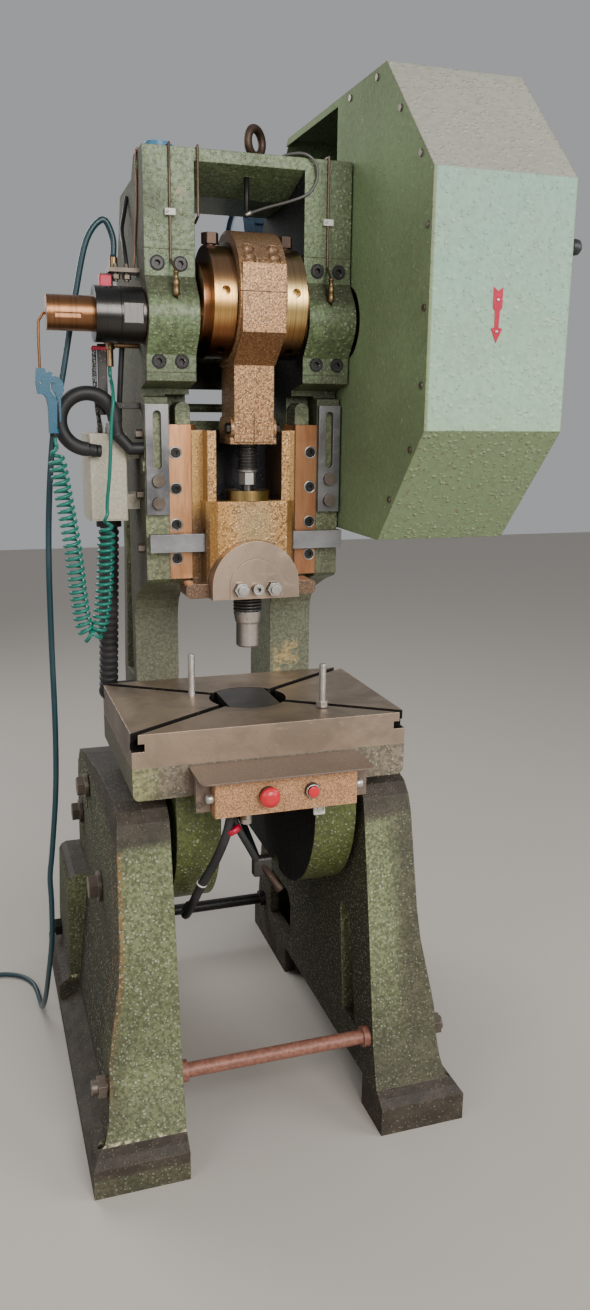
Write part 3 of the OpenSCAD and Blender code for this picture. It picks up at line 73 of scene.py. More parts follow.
soft_light("key_light", (0.5, -4.4, 3.0), (0.1, -0.2, 1.1), 2.6, 185, (1.0, 0.97, 0.93))
soft_light("fill_light", (3.0, -2.2, 2.2), (0, 0, 1.0), 2.2, 60, (0.93, 0.97, 1.0))
soft_light("left_light", (-2.8, -2.2, 2.4), (0, -0.1, 1.2), 1.8, 26, (1.0, 0.98, 0.95))
soft_light("back_light", (-1.6, 2.6, 3.0), (0, 0, 1.2), 2.4, 70, (1.0, 1.0, 1.0))
sky = bpy.data.worlds.new("sky")
bpy.context.scene.world = sky
sky.use_nodes = True
sky.node_tree.nodes["Background"].inputs["Color"].default_value = (0.86, 0.88, 0.90, 1)
sky.node_tree.nodes["Background"].inputs["Strength"].default_value = 0.42
floor_mesh = bpy.data.meshes.new("floor")
floor_mesh.from_pydata([(-9, -9, 0), (9, -9, 0), (9, 9, 0), (-9, 9, 0)], [], [(0, 1, 2, 3)])
floor = bpy.data.objects.new("floor", floor_mesh)
bpy.context.scene.collection.objects.link(floor)
floor_paint = bpy.data.materials.new("pale_floor")
floor_paint.use_nodes = True
floor_paint.node_tree.nodes["Principled BSDF"].inputs["Base Color"].default_value = (0.50, 0.455, 0.41, 1)
floor_paint.node_tree.nodes["Principled BSDF"].inputs["Roughness"].default_value = 0.7
floor_mesh.materials.append(floor_paint)


# Air supply hose: a soft blue tube of 12 mm that runs from the valve on the press's left
# side down beside the stand to the floor. What the view doesn't show is wound in one coil.
class Value:
    """One shader value. Arithmetic on it adds Math nodes."""

    def __init__(self, finish, socket):
        self.finish, self.socket = finish, socket

    def math(self, kind, *others):
        return self.finish.node("Math", {"operation": kind}, *others)

    def __add__(self, other):
        return self.math("ADD", self, other)

    def __sub__(self, other):
        return self.math("SUBTRACT", self, other)

    def __rsub__(self, other):
        return self.math("SUBTRACT", other, self)

    def __mul__(self, other):
        return self.math("MULTIPLY", self, other)

    __radd__, __rmul__ = __add__, __mul__

    def step(self, zero, one):
        """0 up to zero, 1 from one on and a smooth change between them, upwards or downwards."""
        kind = {"interpolation_type": "SMOOTHSTEP"}
        return self.finish.node("MapRange", kind, self, zero, one, 0.0, 1.0)

    def most(self, other):
        return self.math("MAXIMUM", self, other)

    def within(self, low, high, soft=0.01):
        """1 between low and high, with soft ends."""
        return self.step(low - soft, low + soft) * (1 - self.step(high - soft, high + soft))

    def beyond(self, near, far):
        """0 within near of the middle plane on either side, and 1 past far."""
        return (self * self).step(near ** 2, far ** 2)


class Finish:
    """A surface finish: one shader and the nodes that drive it."""

    def __init__(self, name, **constants):
        self.material = bpy.data.materials.new(name)
        self.material.use_nodes = True
        self.tree = self.material.node_tree
        self.shader = self.tree.nodes["Principled BSDF"]
        for socket, value in constants.items():
            self.shader.inputs[socket.replace("_", " ")].default_value = value
        self.place = self.node("TexCoord", {}, out="Object")

    def node(self, kind, settings, *values, out=0, **named):
        made = self.tree.nodes.new("ShaderNode" + kind)
        for setting, value in settings.items():
            setattr(made, setting, value)
        for key, value in list(enumerate(values)) + list(named.items()):
            socket = made.inputs[key.replace("_", " ") if isinstance(key, str) else key]
            if isinstance(value, Value):
                self.tree.links.new(value.socket, socket)
            else:
                socket.default_value = value
        return Value(self, made.outputs[out])

    def stretched(self, x, y, z):
        return self.node("Mapping", {}, self.place, Scale=(x, y, z))

    def noise(self, scale, detail=3.0, rough=0.55, at=None, warp=0.0):
        return self.node("TexNoise", {}, Vector=at or self.place, Scale=scale, Detail=detail,
                         Roughness=rough, Distortion=warp)

    def cells(self, scale, out="Distance", at=None):
        return self.node("TexVoronoi", {"feature": "F1"}, Vector=at or self.place, Scale=scale, out=out)

    def droplets(self, gap):
        """Raised droplets of hammer paint, gap metres apart: 1 on a droplet's top, 0 between."""
        bend = self.node("VectorMath", {"operation": "SCALE"},
                         self.node("TexNoise", {}, Vector=self.place, Scale=0.7 / gap, out="Color"),
                         Scale=gap * 0.9)
        at = self.node("VectorMath", {"operation": "ADD"}, self.place, bend)
        own = self.parts(self.cells(1 / gap, out="Color", at=at))[0]
        least, growth = 0.16, 0.42
        return 1 - self.cells(1 / gap, at=at).step(0.05, own * growth + least)

    def parts(self, value):
        split = self.tree.nodes.new("ShaderNodeSeparateXYZ")
        self.tree.links.new(value.socket, split.inputs[0])
        return [Value(self, split.outputs[k]) for k in range(3)]

    def facing(self):
        """The three parts of the surface's own direction."""
        return self.parts(self.node("NewGeometry", {}, out="Normal"))

    def mix(self, amount, first, second):
        made = self.tree.nodes.new("ShaderNodeMix")
        made.data_type = "RGBA"
        for socket, value in ((made.inputs[0], amount), (made.inputs[6], first), (made.inputs[7], second)):
            if isinstance(value, Value):
                self.tree.links.new(value.socket, socket)
            else:
                socket.default_value = (*value, 1) if isinstance(value, tuple) else value
        return Value(self, made.outputs[2])

    def rounded(self, radius):
        return self.node("Bevel", {"samples": 4}, radius)

    def edge(self, radius, low=0.02, high=0.25):
        """1 on edges and 0 on open faces."""
        bent = self.rounded(radius)
        own = self.node("NewGeometry", {}, out="Normal")
        dot = self.node("VectorMath", {"operation": "DOT_PRODUCT"}, bent, own, out="Value")
        return (1 - dot).step(low, high)

    def bump(self, height, depth, strength=1.0, round_edges=0.0):
        under = {"Normal": self.rounded(round_edges)} if round_edges else {}
        return self.node("Bump", {}, Height=height, Distance=depth, Strength=strength, **under)

    def set(self, **links):
        for socket, value in links.items():
            target = self.shader.inputs[socket.replace("_", " ")]
            if isinstance(value, Value):
                self.tree.links.new(value.socket, target)
            else:
                target.default_value = (*value, 1) if isinstance(value, tuple) else value
        return self.material


def soft_plastic(name, colour, rough):
    """Moulded plastic or rubber: a little dust and a fine uneven surface."""
    f = Finish(name)
    dust = f.noise(9.0, 4.0).step(0.45, 0.75) * 0.5
    pale = tuple(c * 1.05 + 0.03 for c in colour)
    return f.set(Base_Color=f.mix(dust, colour, pale), Roughness=rough + dust * 0.3,
                 Normal=f.bump(f.noise(260.0, 2.0), 0.0006, 0.35))


def curve_through(points, steps):
    """A smooth line through the points, with the given number of steps in each span."""
    line, last = [], len(points) - 1
    for i in range(last):
        a, b, c, d = (Vector(points[min(max(k, 0), last)]) for k in (i - 1, i, i + 1, i + 2))
        for k in range(steps):
            t = k / steps
            line.append(0.5 * (2 * b + (c - a) * t + (2 * a - 5 * b + 4 * c - d) * t * t
                               + (3 * b - a - 3 * c + d) * t ** 3))
    return line + [Vector(points[last])]


def path_frames(line):
    """For each point: the way the line runs and two directions across it, without twist."""
    ways = [(line[min(i + 1, len(line) - 1)] - line[max(i - 1, 0)]).normalized() for i in range(len(line))]
    side = ways[0].orthogonal().normalized()
    frames = []
    for way in ways:
        side = (side - way * side.dot(way)).normalized()
        frames.append((way, side, way.cross(side)))
    return frames


def new_piece(name, mesh, material, body, smooth=True):
    mesh.materials.clear()
    mesh.materials.append(material)
    for face in mesh.polygons:
        face.use_smooth = smooth
    piece = bpy.data.objects.new(name, mesh)
    bpy.context.scene.collection.objects.link(piece)
    if body:
        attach(piece, body)
    return piece


def tube_mesh(name, line, radius, sides=12):
    """A closed tube along a line."""
    points, faces = [], []
    for spot, (_, side, up) in zip(line, path_frames(line)):
        for k in range(sides):
            a = 2 * math.pi * k / sides
            points.append(spot + radius * (math.cos(a) * side + math.sin(a) * up))
    for i in range(len(line) - 1):
        for k in range(sides):
            n = (k + 1) % sides
            faces.append((i * sides + k, i * sides + n, (i + 1) * sides + n, (i + 1) * sides + k))
    faces.append(tuple(reversed(range(sides))))
    faces.append(tuple(range((len(line) - 1) * sides, len(line) * sides)))
    mesh = bpy.data.meshes.new(name)
    mesh.from_pydata(points, [], faces)
    return mesh


def line_length(line):
    return sum((b - a).length for a, b in zip(line, line[1:]))


def mm(*numbers):
    return Vector(numbers) / 1000


hose_route = [mm(*spot) for spot in (
    (-248, -104, 1772), (-248, -104, 1808), (-266, -106, 1838), (-298, -106, 1800), (-322, -100, 1700),
    (-350, -98, 1560), (-376, -98, 1430), (-392, -98, 1250), (-396, -94, 1050), (-396, -88, 850),
    (-400, -76, 700), (-412, -64, 560), (-420, -60, 490), (-420, -60, 450), (-420, -60, 410),
    (-422, -40, 320), (-430, 20, 200), (-436, 100, 90), (-440, 180, 24), (-442, 250, 6), (-450, 315, 6),
    (-474, 362, 6), (-514, 389, 6), (-560, 396, 6), (-610, 396, 6), (-660, 396, 6))]
hose_d = 0.012
coil_spot, coil_radius, coil_turns, coil_steps, coil_rise = mm(-700, 330, 6), 0.066, 5, 24, hose_d + 0.0004
coil_line = []
for step in range(coil_turns * coil_steps + 1):
    turned = math.pi / 2 + 2 * math.pi * step / coil_steps
    coil_line.append(coil_spot + Vector((coil_radius * math.cos(turned), coil_radius * math.sin(turned),
                                         coil_rise * step / coil_steps)))
way_down = [mm(*spot) for spot in (
    (-723.5, 394.0, 67.5), (-753, 385, 60), (-774, 358, 44), (-780, 330, 28), (-777, 308, 17),
    (-769.5, 294, 12), (-766, 285.8, 11))]
coil_line += curve_through(coil_line[-2:] + way_down, 4)[8:]
hose_line = curve_through(hose_route, 5) + coil_line
hose = new_piece("air_supply_hose", tube_mesh("air_supply_hose", hose_line, hose_d / 2),
                 soft_plastic("blue_hose", (0.008, 0.040, 0.052), 0.34), None)
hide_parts("supply_hose", "floor_hose", "supply_hose_coil")
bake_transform(hose)
line_length(hose_line)

# Spiral hose of the blow gun: a straight green tube from the lower valve that turns into
# a springy helix, hangs in a loop and comes up to the gun's grip.
straight_route = [mm(*spot) for spot in (
    (-262, -110, 1570), (-262, -112, 1550), (-263, -140, 1534), (-265, -164, 1504), (-270, -166, 1462),
    (-276, -164, 1372), (-282, -158, 1312))]
spiral_route = [mm(*spot) for spot in (
    (-282, -158, 1290), (-286, -158, 1240), (-290, -156, 1180), (-296, -152, 1110), (-306, -150, 1062),
    (-322, -150, 1044), (-336, -152, 1070), (-344, -156, 1130), (-350, -160, 1200), (-358, -164, 1270),
    (-368, -168, 1340), (-378, -170, 1412), (-378, -170, 1430))]
spiral_d, spiral_reach, turn_gap, turn_steps, swell_run = 0.007, 0.0145, 0.0135, 14, 0.04


def helix_about(line, reach, gap):
    """A helix round a line, which swells from the line at its start and ends on it."""
    frames, length, made = path_frames(line), line_length(line), []
    travelled = a = 0.0
    for i, spot in enumerate(line):
        step = (spot - line[i - 1]).length if i else 0.0
        travelled += step
        swell = max(0.0, min(1.0, travelled / swell_run, (length - travelled) / swell_run))
        a += 2 * math.pi * step / gap * swell
        _, side, up = frames[i]
        made.append(spot + reach * swell * (math.cos(a) * side + math.sin(a) * up))
    return made


def evenly(line, gap):
    """The same line with points at an even distance."""
    made, left = [line[0].copy()], gap
    for a, b in zip(line, line[1:]):
        span, start = (b - a).length, 0.0
        while span - start > left:
            start += left
            made.append(a + (b - a) * (start / span))
            left = gap
        left -= span - start
    return made


straight_line = curve_through(straight_route + spiral_route[:1], 6)[:-1]
spiral_core = evenly(curve_through(spiral_route, 8), turn_gap / turn_steps)
spiral_line = straight_line + helix_about(spiral_core, spiral_reach, turn_gap)
spiral_line += [mm(-378, -170, 1434), mm(-378, -170, 1440)]
spiral = new_piece("spiral_hose_tube", tube_mesh("spiral_hose_tube", spiral_line, spiral_d / 2, 8),
                   soft_plastic("green_hose", (0.006, 0.16, 0.12), 0.3), "frame")
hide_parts("spiral_hose")
line_length(spiral_line)

# Cables of the control box: two black sleeved cables from under the box, one to the left
# cheek of the frame and one to the wall between the cheeks.
cable_rubber = soft_plastic("cable_rubber", (0.009, 0.009, 0.010), 0.5)
left_cable = [mm(*spot) for spot in (
    (-98, -402, 747), (-100, -403, 722), (-110, -403, 684), (-128, -390, 630), (-149, -368, 576),
    (-163, -330, 512), (-166, -292, 474), (-160, -256, 462), (-147, -232, 464))]
middle_cable = [mm(*spot) for spot in (
    (-90, -392, 747), (-90, -394, 722), (-80, -398, 694), (-60, -396, 656), (-34, -380, 606),
    (-14, -320, 570), (6, -200, 556), (18, -60, 566), (18, 20, 580), (18, 59, 584))]
for name, route, width in (("left_cable", left_cable, 0.018), ("middle_cable", middle_cable, 0.014)):
    line = curve_through(route, 6)
    cable = new_piece(name, tube_mesh(name, line, width / 2), cable_rubber, "frame")
    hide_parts("control_cables")
    line_length(line)


# Castings: both stands, the main frame, the bearing caps and the flywheel wear hammered green
# enamel with raised droplets. Oil and dust have turned its tops, its feet and the bed brown.
def hammer_paint(name, gap, sheen, hollow, regions, mottle=0.30):
    """Hammered enamel with droplets gap metres apart, with a painted highlight on their tops and dirt in
    between.

    regions(f, x, y, z, face) gives the paint, the soil's colour and the soil's amount. mottle is
    how far the darker blotches show."""
    blotch, dirt, glint = (0.05, 0.055, 0.03), (0.030, 0.029, 0.018), (0.62, 0.63, 0.46)
    bare_edge = (0.26, 0.20, 0.13)
    f = Finish(name, IOR=1.42)
    x, y, z = f.parts(f.place)
    face = f.facing()
    drops = f.droplets(gap)
    paint, soil_tint, soil = regions(f, x, y, z, face)
    grain = f.noise(0.9 / gap, 3.0, 0.6)
    colour = f.mix(grain.step(0.35, 0.65) * mottle, paint, blotch)
    colour = f.mix(soil, colour, soil_tint)
    colour = f.mix((1 - drops) * grain.step(0.42, 0.60) * hollow, colour, dirt)
    # Painted highlight: the droplets' tops are painted pale, less so where soil lies; sheen sets how strong.
    colour = f.mix(drops * (1 - soil * 0.8) * sheen, colour, glint)
    worn = f.edge(0.004) * f.noise(38.0, 4.0).step(0.42, 0.60)
    colour = f.mix(worn * 0.6, colour, bare_edge)
    dull = (soil * 0.26).most(face[0].step(-0.6, -0.9) * 0.5)
    return f.set(Base_Color=colour, Roughness=0.31 + dull + grain * 0.10,
                 Normal=f.bump(drops + grain * 0.35, 0.0020, 0.9, round_edges=0.003))


def brown_soil(f):
    return f.mix(f.noise(30.0, 4.0).step(0.35, 0.65), (0.032, 0.022, 0.018), (0.062, 0.044, 0.035))


def stand_regions(f, x, y, z, face):
    """A green front and green outer pockets, sides painted near black as shade, and brown tops and feet."""
    foot_top, shoulder, outer_wall, right_web = 0.082, 0.668, 0.340, 0.262
    green, worn_green, pocket_green = (0.225, 0.250, 0.125), (0.150, 0.175, 0.080), (0.055, 0.085, 0.022)
    shade, shade_black, olive_shade = (0.085, 0.105, 0.042), (0.022, 0.017, 0.013), (0.050, 0.048, 0.024)
    rust_orange, bare_filler = (0.30, 0.115, 0.035), (0.62, 0.56, 0.36)
    spread = f.noise(4.0, 4.0, warp=0.5)
    front = face[1].step(-0.5, -0.9)
    left = x.step(0.01, -0.01)
    sides = (face[0] * face[0]).step(0.5, 0.85)
    paint = f.mix(spread.step(0.35, 0.7), green, worn_green)
    paint = f.mix(front, f.mix(0.6, paint, shade), paint)
    # Painted shade: the faces that look to the sides are near black, a little olive higher up.
    paint = f.mix(sides * 0.92, paint, f.mix((z + spread * 0.3).step(0.25, 0.75), shade_black, olive_shade))
    pocket = sides * x.beyond(outer_wall, outer_wall + 0.002) * z.within(0.14, 0.42, 0.03)
    paint = f.mix(pocket * 0.7, paint, pocket_green)
    soil = (face[2].step(0.15, 0.55) * 0.97).most((z + spread * 0.05).step(shoulder, shoulder + 0.03) * 0.9)
    soil = soil.most(z.step(foot_top, foot_top - 0.008) * 0.95)
    soil = soil - z.step(0.046, 0.036) * front * left * 0.22
    soil = soil.most(z.step(0.52, 0.05) * spread.step(0.36, 0.60) * 0.6)
    soil = soil.most(x.step(0.2, 0.21) * z.step(0.45, 0.10) * 0.75)
    soil = soil.most((x + spread * 0.05).step(right_web, right_web + 0.056) * front * 0.72)
    corner = f.edge(0.022, 0.002, 0.03) * x.step(-0.290, -0.296) * y.step(-0.20, -0.22)
    chips = corner * f.noise(70.0, 4.0).step(0.36, 0.50) * (1 - soil) * z.step(0.12, 0.2)
    flakes = z.within(foot_top, foot_top + 0.011, 0.004) * front * left * f.noise(75.0, 3.0).step(0.52, 0.56)
    paint = f.mix(flakes, f.mix(chips, paint, rust_orange), bare_filler)
    return paint, brown_soil(f), soil * (1 - flakes)


def frame_regions(f, x, y, z, face):
    """Yellowish cheeks, a brown bed, dusty columns, pale gib seats, green head and a dull left flank, with
    black painted shade between the cheeks and on the head's inner walls, and painted shade on the right of
    the head and on the right seat.
    """
    bed_low, bed_top, gib_low, gib_top = 0.760, 0.835, 1.14, 1.48
    green, worn_green, right_shade = (0.185, 0.260, 0.125), (0.135, 0.195, 0.088), (0.05, 0.06, 0.028)
    cheek_pale, cheek_dark = (0.13, 0.155, 0.040), (0.055, 0.075, 0.022)
    bed_brown, bed_green = (0.235, 0.190, 0.140), (0.30, 0.29, 0.14)
    seat_left, seat_right_shaded = (0.30, 0.31, 0.175), (0.20, 0.205, 0.115)
    flank_pale, flank_dark = (0.105, 0.095, 0.075), (0.070, 0.062, 0.048)
    column_dust, shade_black, bare_filler = (0.145, 0.122, 0.102), (0.004, 0.004, 0.006), (0.42, 0.31, 0.15)
    spread = f.noise(5.0, 4.0, warp=0.5)
    paint = f.mix(spread.step(0.35, 0.7), green, worn_green)
    right_head = x.step(0.13, 0.15) * z.step(gib_top, gib_top + 0.02)
    paint = f.mix(right_head, paint, f.mix(0.45, paint, right_shade))
    cheeks = z.step(bed_low + 0.005, bed_low - 0.005)
    paint = f.mix(cheeks, paint, f.mix(spread, cheek_pale, cheek_dark))
    bed = z.within(bed_low, bed_top, 0.004)
    columns = z.within(bed_top, gib_low, 0.03)
    paint = f.mix(bed, paint, f.mix(x.step(-0.205, -0.262), bed_brown, bed_green))
    # Painted shade: the faces between the cheeks and the inner walls of the head are painted black.
    between_cheeks = cheeks * (1 - x.beyond(0.1004, 0.1010))
    head_walls = (face[0] * face[0]).step(0.5, 0.9) * (1 - x.beyond(0.1083, 0.1088)) * z.step(1.46, 1.50)
    shaded_cavity = between_cheeks.most(head_walls)
    soil_tint = f.mix(columns, brown_soil(f), column_dust)
    soil_tint = f.mix(shaded_cavity, soil_tint, shade_black)
    patch = x.within(0.118, 0.176, 0.006) * z.within(0.890, 0.968, 0.012)
    chipped = patch * f.noise(36.0, 4.0).step(0.44, 0.50) * face[1].step(-0.3, -0.6)
    seats = z.within(gib_low, gib_top, 0.02) * face[1].step(-0.5, -0.9)
    # The right seat is a darker copy of the left one: painted shade.
    paint = f.mix(seats * 0.75, paint, f.mix(x.step(-0.05, 0.05), seat_left, seat_right_shaded))
    soil = (face[2].step(0.2, 0.8) * 0.75).most(columns * (0.55 + spread * 0.25)).most(shaded_cavity)
    soil = soil.most(z.within(gib_low, gib_top + 0.08, 0.05) * (0.38 + spread * 0.3) * (1 - seats))
    flank = face[0].step(-0.6, -0.9) * x.step(-0.195, -0.202)
    soil = soil.most(spread.step(0.50, 0.72) * 0.4).most(flank * (0.75 + spread * 0.25)) * (1 - chipped)
    soil_tint = f.mix(flank, soil_tint, f.mix(spread, flank_pale, flank_dark))
    return f.mix(chipped, paint, bare_filler), soil_tint, soil


def dress(material, *names):
    """One finish for all the faces of each named CAD piece."""
    for name in names:
        mesh = nodes[name].data
        mesh.materials.clear()
        mesh.materials.append(material)
        for face in mesh.polygons:
            face.material_index = 0


dress(hammer_paint("stand_green", 0.0066, 0.62, 0.45, stand_regions), "stand_left", "stand_right")
dress(hammer_paint("casting_green", 0.0072, 0.38, 0.36, frame_regions),
      "main_frame", "bearing_caps", "motor_plate", "flywheel")


# Flywheel guard: welded sheet steel. Its front is pale bluish green with large droplets, its side towards
# the frame smooth and olive, its sloping top dusty, and its inner faces are painted dark navy as shade.
def guard_regions(f, x, y, z, face):
    inner_side, outer_side = 0.216, 0.4765
    green, worn_green, scratched = (0.215, 0.300, 0.145), (0.160, 0.215, 0.105), (0.30, 0.34, 0.22)
    front_low, front_high, front_stain = (0.33, 0.50, 0.34), (0.24, 0.42, 0.34), (0.31, 0.38, 0.26)
    dust, dark_dust, under_green = (0.40, 0.40, 0.34), (0.32, 0.31, 0.25), (0.19, 0.26, 0.13)
    inside_shade_blue, rust_brown = (0.012, 0.018, 0.032), (0.17, 0.13, 0.075)
    spread = f.noise(2.4, 4.0, warp=0.4)
    scratch = f.noise(14.0, 6.0, 0.8, at=f.stretched(1.0, 5.0, 1.0)).step(0.66, 0.72)
    olive = f.mix(spread.step(0.35, 0.7), green, worn_green)
    olive = f.mix(scratch * 0.25, olive, scratched)
    front = f.mix(z.step(1.35, 1.95), front_low, front_high)
    front = f.mix(spread.step(0.4, 0.7) * 0.4, front, front_stain)
    paint = f.mix(x.step(inner_side, inner_side - 0.004), front, olive)
    top = face[2].step(0.3, 0.6)
    under = face[2].step(-0.3, -0.6)
    paint = f.mix(top, paint, f.mix(spread, dust, dark_dust))
    paint = f.mix(under, paint, under_green)
    # Painted shade: the inner faces of the guard are painted dark navy.
    shaded_inside = x.within(inner_side, outer_side, 0.0005) * face[0].within(-2.0, -0.5, 0.1)
    paint = f.mix(shaded_inside, paint, inside_shade_blue)
    soil = (under * f.noise(120.0, 3.0).step(0.60, 0.66) * 0.8).most(f.edge(0.006) * 0.55)
    return paint, rust_brown, soil


dress(hammer_paint("guard_green", 0.0105, 0.24, 0.06, guard_regions, mottle=0.08), "flywheel_guard")


# Ground and handled steel: the bolster, its insert, the studs, the stop bars, the screws and
# the bolts. Hands and oil have stained it brown, and its edges are rubbed bright.
def handled_iron(name, pale, dark, rough, shade=0.0):
    """Steel with stains and scratches. shade darkens the faces that look to the sides."""
    rust_spot = (0.30, 0.22, 0.13)
    f = Finish(name, Metallic=0.85)
    stains = f.noise(7.0, 5.0, 0.6, warp=0.6)
    scratch = f.noise(26.0, 6.0, 0.75, at=f.stretched(1.0, 7.0, 3.0))
    spots = f.noise(150.0, 2.0).step(0.66, 0.72)
    colour = f.mix(stains.step(0.35, 0.7), pale, dark)
    colour = f.mix(scratch.step(0.55, 0.72) * 0.35, colour, tuple(min(1, c * 1.6) for c in pale))
    colour = f.mix(spots * 0.6, colour, rust_spot)
    if shade:
        slant = f.facing()[0]
        colour = f.mix((slant * slant).step(0.15, 0.8) * shade, colour, tuple(c * 0.22 for c in dark))
    worn = f.edge(0.0025) * 0.6
    colour = f.mix(worn, colour, tuple(min(1, c * 1.9) for c in pale))
    return f.set(Base_Color=colour, Roughness=rough + stains * 0.25,
                 Normal=f.bump(scratch, 0.0004, 0.35, round_edges=0.0015))


def zoned(name, others, zone):
    """Other finishes for some faces of a dressed CAD piece: zone gives 0, or 1 and up for the others."""
    mesh = nodes[name].data
    for other in others:
        mesh.materials.append(other)
    for face in mesh.polygons:
        face.material_index = int(zone(face.center, face.normal))


dress(handled_iron("bolster_steel", (0.46, 0.345, 0.25), (0.27, 0.21, 0.16), 0.32, 0.75), "bolster_plate")
slot_shade_black = handled_iron("slot_shade_black", (0.035, 0.030, 0.027), (0.018, 0.016, 0.015), 0.5)
# The faces within the bolster's outline and below its top are the walls of the T-slots; they are painted
# near black as shade.
half_width, front_y, rear_y, top_z = 0.2795, -0.3625, 0.0225, 0.8945
zoned("bolster_plate", [slot_shade_black],
      lambda spot, way: abs(spot.x) < half_width and front_y < spot.y < rear_y and spot.z < top_z)
dress(handled_iron("insert_steel", (0.15, 0.13, 0.12), (0.09, 0.08, 0.075), 0.28), "bolster_insert")
bolt_iron = handled_iron("bolt_iron", (0.20, 0.165, 0.135), (0.10, 0.08, 0.065), 0.38)
dress(bolt_iron, "pivot_bolts", "clamp_bolts", "frame_bolts", "cam_switch", "clutch_drum", "motor_pulley")
dress(handled_iron("stop_steel", (0.25, 0.25, 0.255), (0.10, 0.10, 0.105), 0.36), "stop_brackets")
bright = handled_iron("bright_steel", (0.60, 0.57, 0.53), (0.40, 0.37, 0.33), 0.22)
dark_steel = handled_iron("dark_steel", (0.11, 0.105, 0.10), (0.05, 0.048, 0.046), 0.26)
dress(bright, "table_studs", "adjusting_screw")
hexagon_low, hexagon_top = 1.349, 1.3735
zoned("adjusting_screw", [dark_steel], lambda spot, way: not hexagon_low <= spot.z <= hexagon_top)
dress(handled_iron("polished_steel", (0.66, 0.60, 0.54), (0.42, 0.37, 0.32), 0.16, 0.85), "punch_holder")
spring_low, spring_top = 1.0848, 1.120
zoned("punch_holder", [dark_steel], lambda spot, way: spring_low < spot.z < spring_top)
dress(handled_iron("bar_steel", (0.29, 0.29, 0.29), (0.17, 0.17, 0.175), 0.38), "knock_out_bar")
dress(handled_iron("clamp_steel", (0.48, 0.36, 0.27), (0.28, 0.215, 0.165), 0.28), "shank_clamp")
clamp_front = -0.2385
zoned("shank_clamp", [dark_steel, bright],
      lambda spot, way: (spot.y < clamp_front) * (2 if way.y < -0.5 else 1))
eye_iron = handled_iron("eye_iron", (0.115, 0.075, 0.058), (0.065, 0.043, 0.034), 0.42)
dress(eye_iron, "lifting_eye")


# Rod, ram and shaft: castings with machined faces, the ram running in the guides and the rod on its
# eccentric. A film of brown oil lies over them, with painted glints on its droplets and on its palest
# grains.
def oily_cast(name, pale, dark, regions):
    """Cast grain with droplets of oil, with painted glints on the droplets and the palest grains. regions(f,
    x, y, z, colour) gives a hollow that is painted near black as shade, and tints the parts of the piece.
    """
    pool, pit, wet_glint = (0.30, 0.15, 0.05), (0.07, 0.038, 0.018), (0.95, 0.70, 0.42)
    grain_glint, dark_grain, bare_edge = (0.90, 0.68, 0.42), (0.12, 0.065, 0.03), (0.70, 0.52, 0.34)
    f = Finish(name, Metallic=0.5, Coat_Weight=0.12, Coat_Roughness=0.2)
    pits = f.cells(300.0)
    grain = f.noise(360.0, 3.0, 0.65)
    pools = f.noise(6.0, 4.0, warp=0.5)
    drops = f.droplets(0.0052)
    colour = f.mix(pits.step(0.1, 0.7), pale, dark)
    colour = f.mix(pools.step(0.5, 0.75) * 0.45, colour, pool)
    colour = f.mix((1 - drops) * f.noise(230.0, 2.0).step(0.46, 0.60) * 0.75, colour, pit)
    # Painted highlight: pale glints on the oil droplets.
    colour = f.mix(drops * 0.45, colour, wet_glint)
    shaded_inside, colour = regions(f, *f.parts(f.place), colour)
    # Painted highlight: the palest grains are painted as glints.
    colour = f.mix(grain.step(0.58, 0.70) * 0.6, colour, grain_glint)
    colour = f.mix(grain.step(0.44, 0.32) * 0.6, colour, dark_grain)
    colour = f.mix(f.edge(0.003) * 0.4, colour, bare_edge)
    # Painted shade: the hollow that regions gives is painted near black.
    colour = f.mix(shaded_inside, colour, (0.008, 0.008, 0.012))
    return f.set(Base_Color=colour, Roughness=0.30 + pits * 0.15,
                 Normal=f.bump(drops + grain * 0.4, 0.0008, 0.8, round_edges=0.0025))


def rod_regions(f, x, y, z, colour):
    """A smooth brown crown and painted shade on the faces under the block that look down. No part of it is a
    hollow painted dark as shade.
    """
    crown_brown, shaded_slope_brown = (0.20, 0.12, 0.07), (0.22, 0.10, 0.04)
    colour = f.mix(z.step(1.755, 1.765) * 0.7, colour, crown_brown)
    # Painted shade on the faces that look down.
    return 0.0, f.mix(f.facing()[2].step(-0.3, -0.6) * 0.6, colour, shaded_slope_brown)


def ram_regions(f, x, y, z, colour):
    """Darker orange chamfers, brown feet and guides, a greyer middle and a pocket painted near black as
    shade.
    """
    chamfer_orange, grey_middle, orange_left = (0.36, 0.165, 0.035), (0.42, 0.33, 0.18), (0.46, 0.225, 0.05)
    guide_low, guide_high, foot_brown = (0.085, 0.045, 0.022), (0.46, 0.27, 0.085), (0.16, 0.10, 0.075)
    block_low, block_top, pocket_half, pocket_front = 1.16, 1.3118, 0.0681, -0.188
    slant = f.facing()[0]
    # The faces that look to the sides, the chamfers, are darker orange.
    colour = f.mix((slant * slant).step(0.15, 0.35) * 0.75, colour, chamfer_orange)
    colour = f.mix(x.within(-0.03, 0.04, 0.02) * z.within(1.20, 1.31, 0.03) * 0.55, colour, grey_middle)
    colour = f.mix(x.step(-0.03, -0.07) * z.within(block_low, 1.322, 0.01) * 0.5, colour, orange_left)
    guides = x.beyond(0.0845, 0.087)
    colour = f.mix(guides * 0.8, colour, f.mix(z.step(1.26, 1.31), guide_low, guide_high))
    colour = f.mix(z.step(1.158, 1.150) * x.beyond(0.088, 0.090) * 0.6, colour, foot_brown)
    # Painted shade: the pocket above the block is painted near black.
    shaded_inside = x.within(-pocket_half, pocket_half, 0.0004) * z.step(block_top, block_top + 0.001)
    return shaded_inside * y.step(pocket_front, pocket_front + 0.005), colour


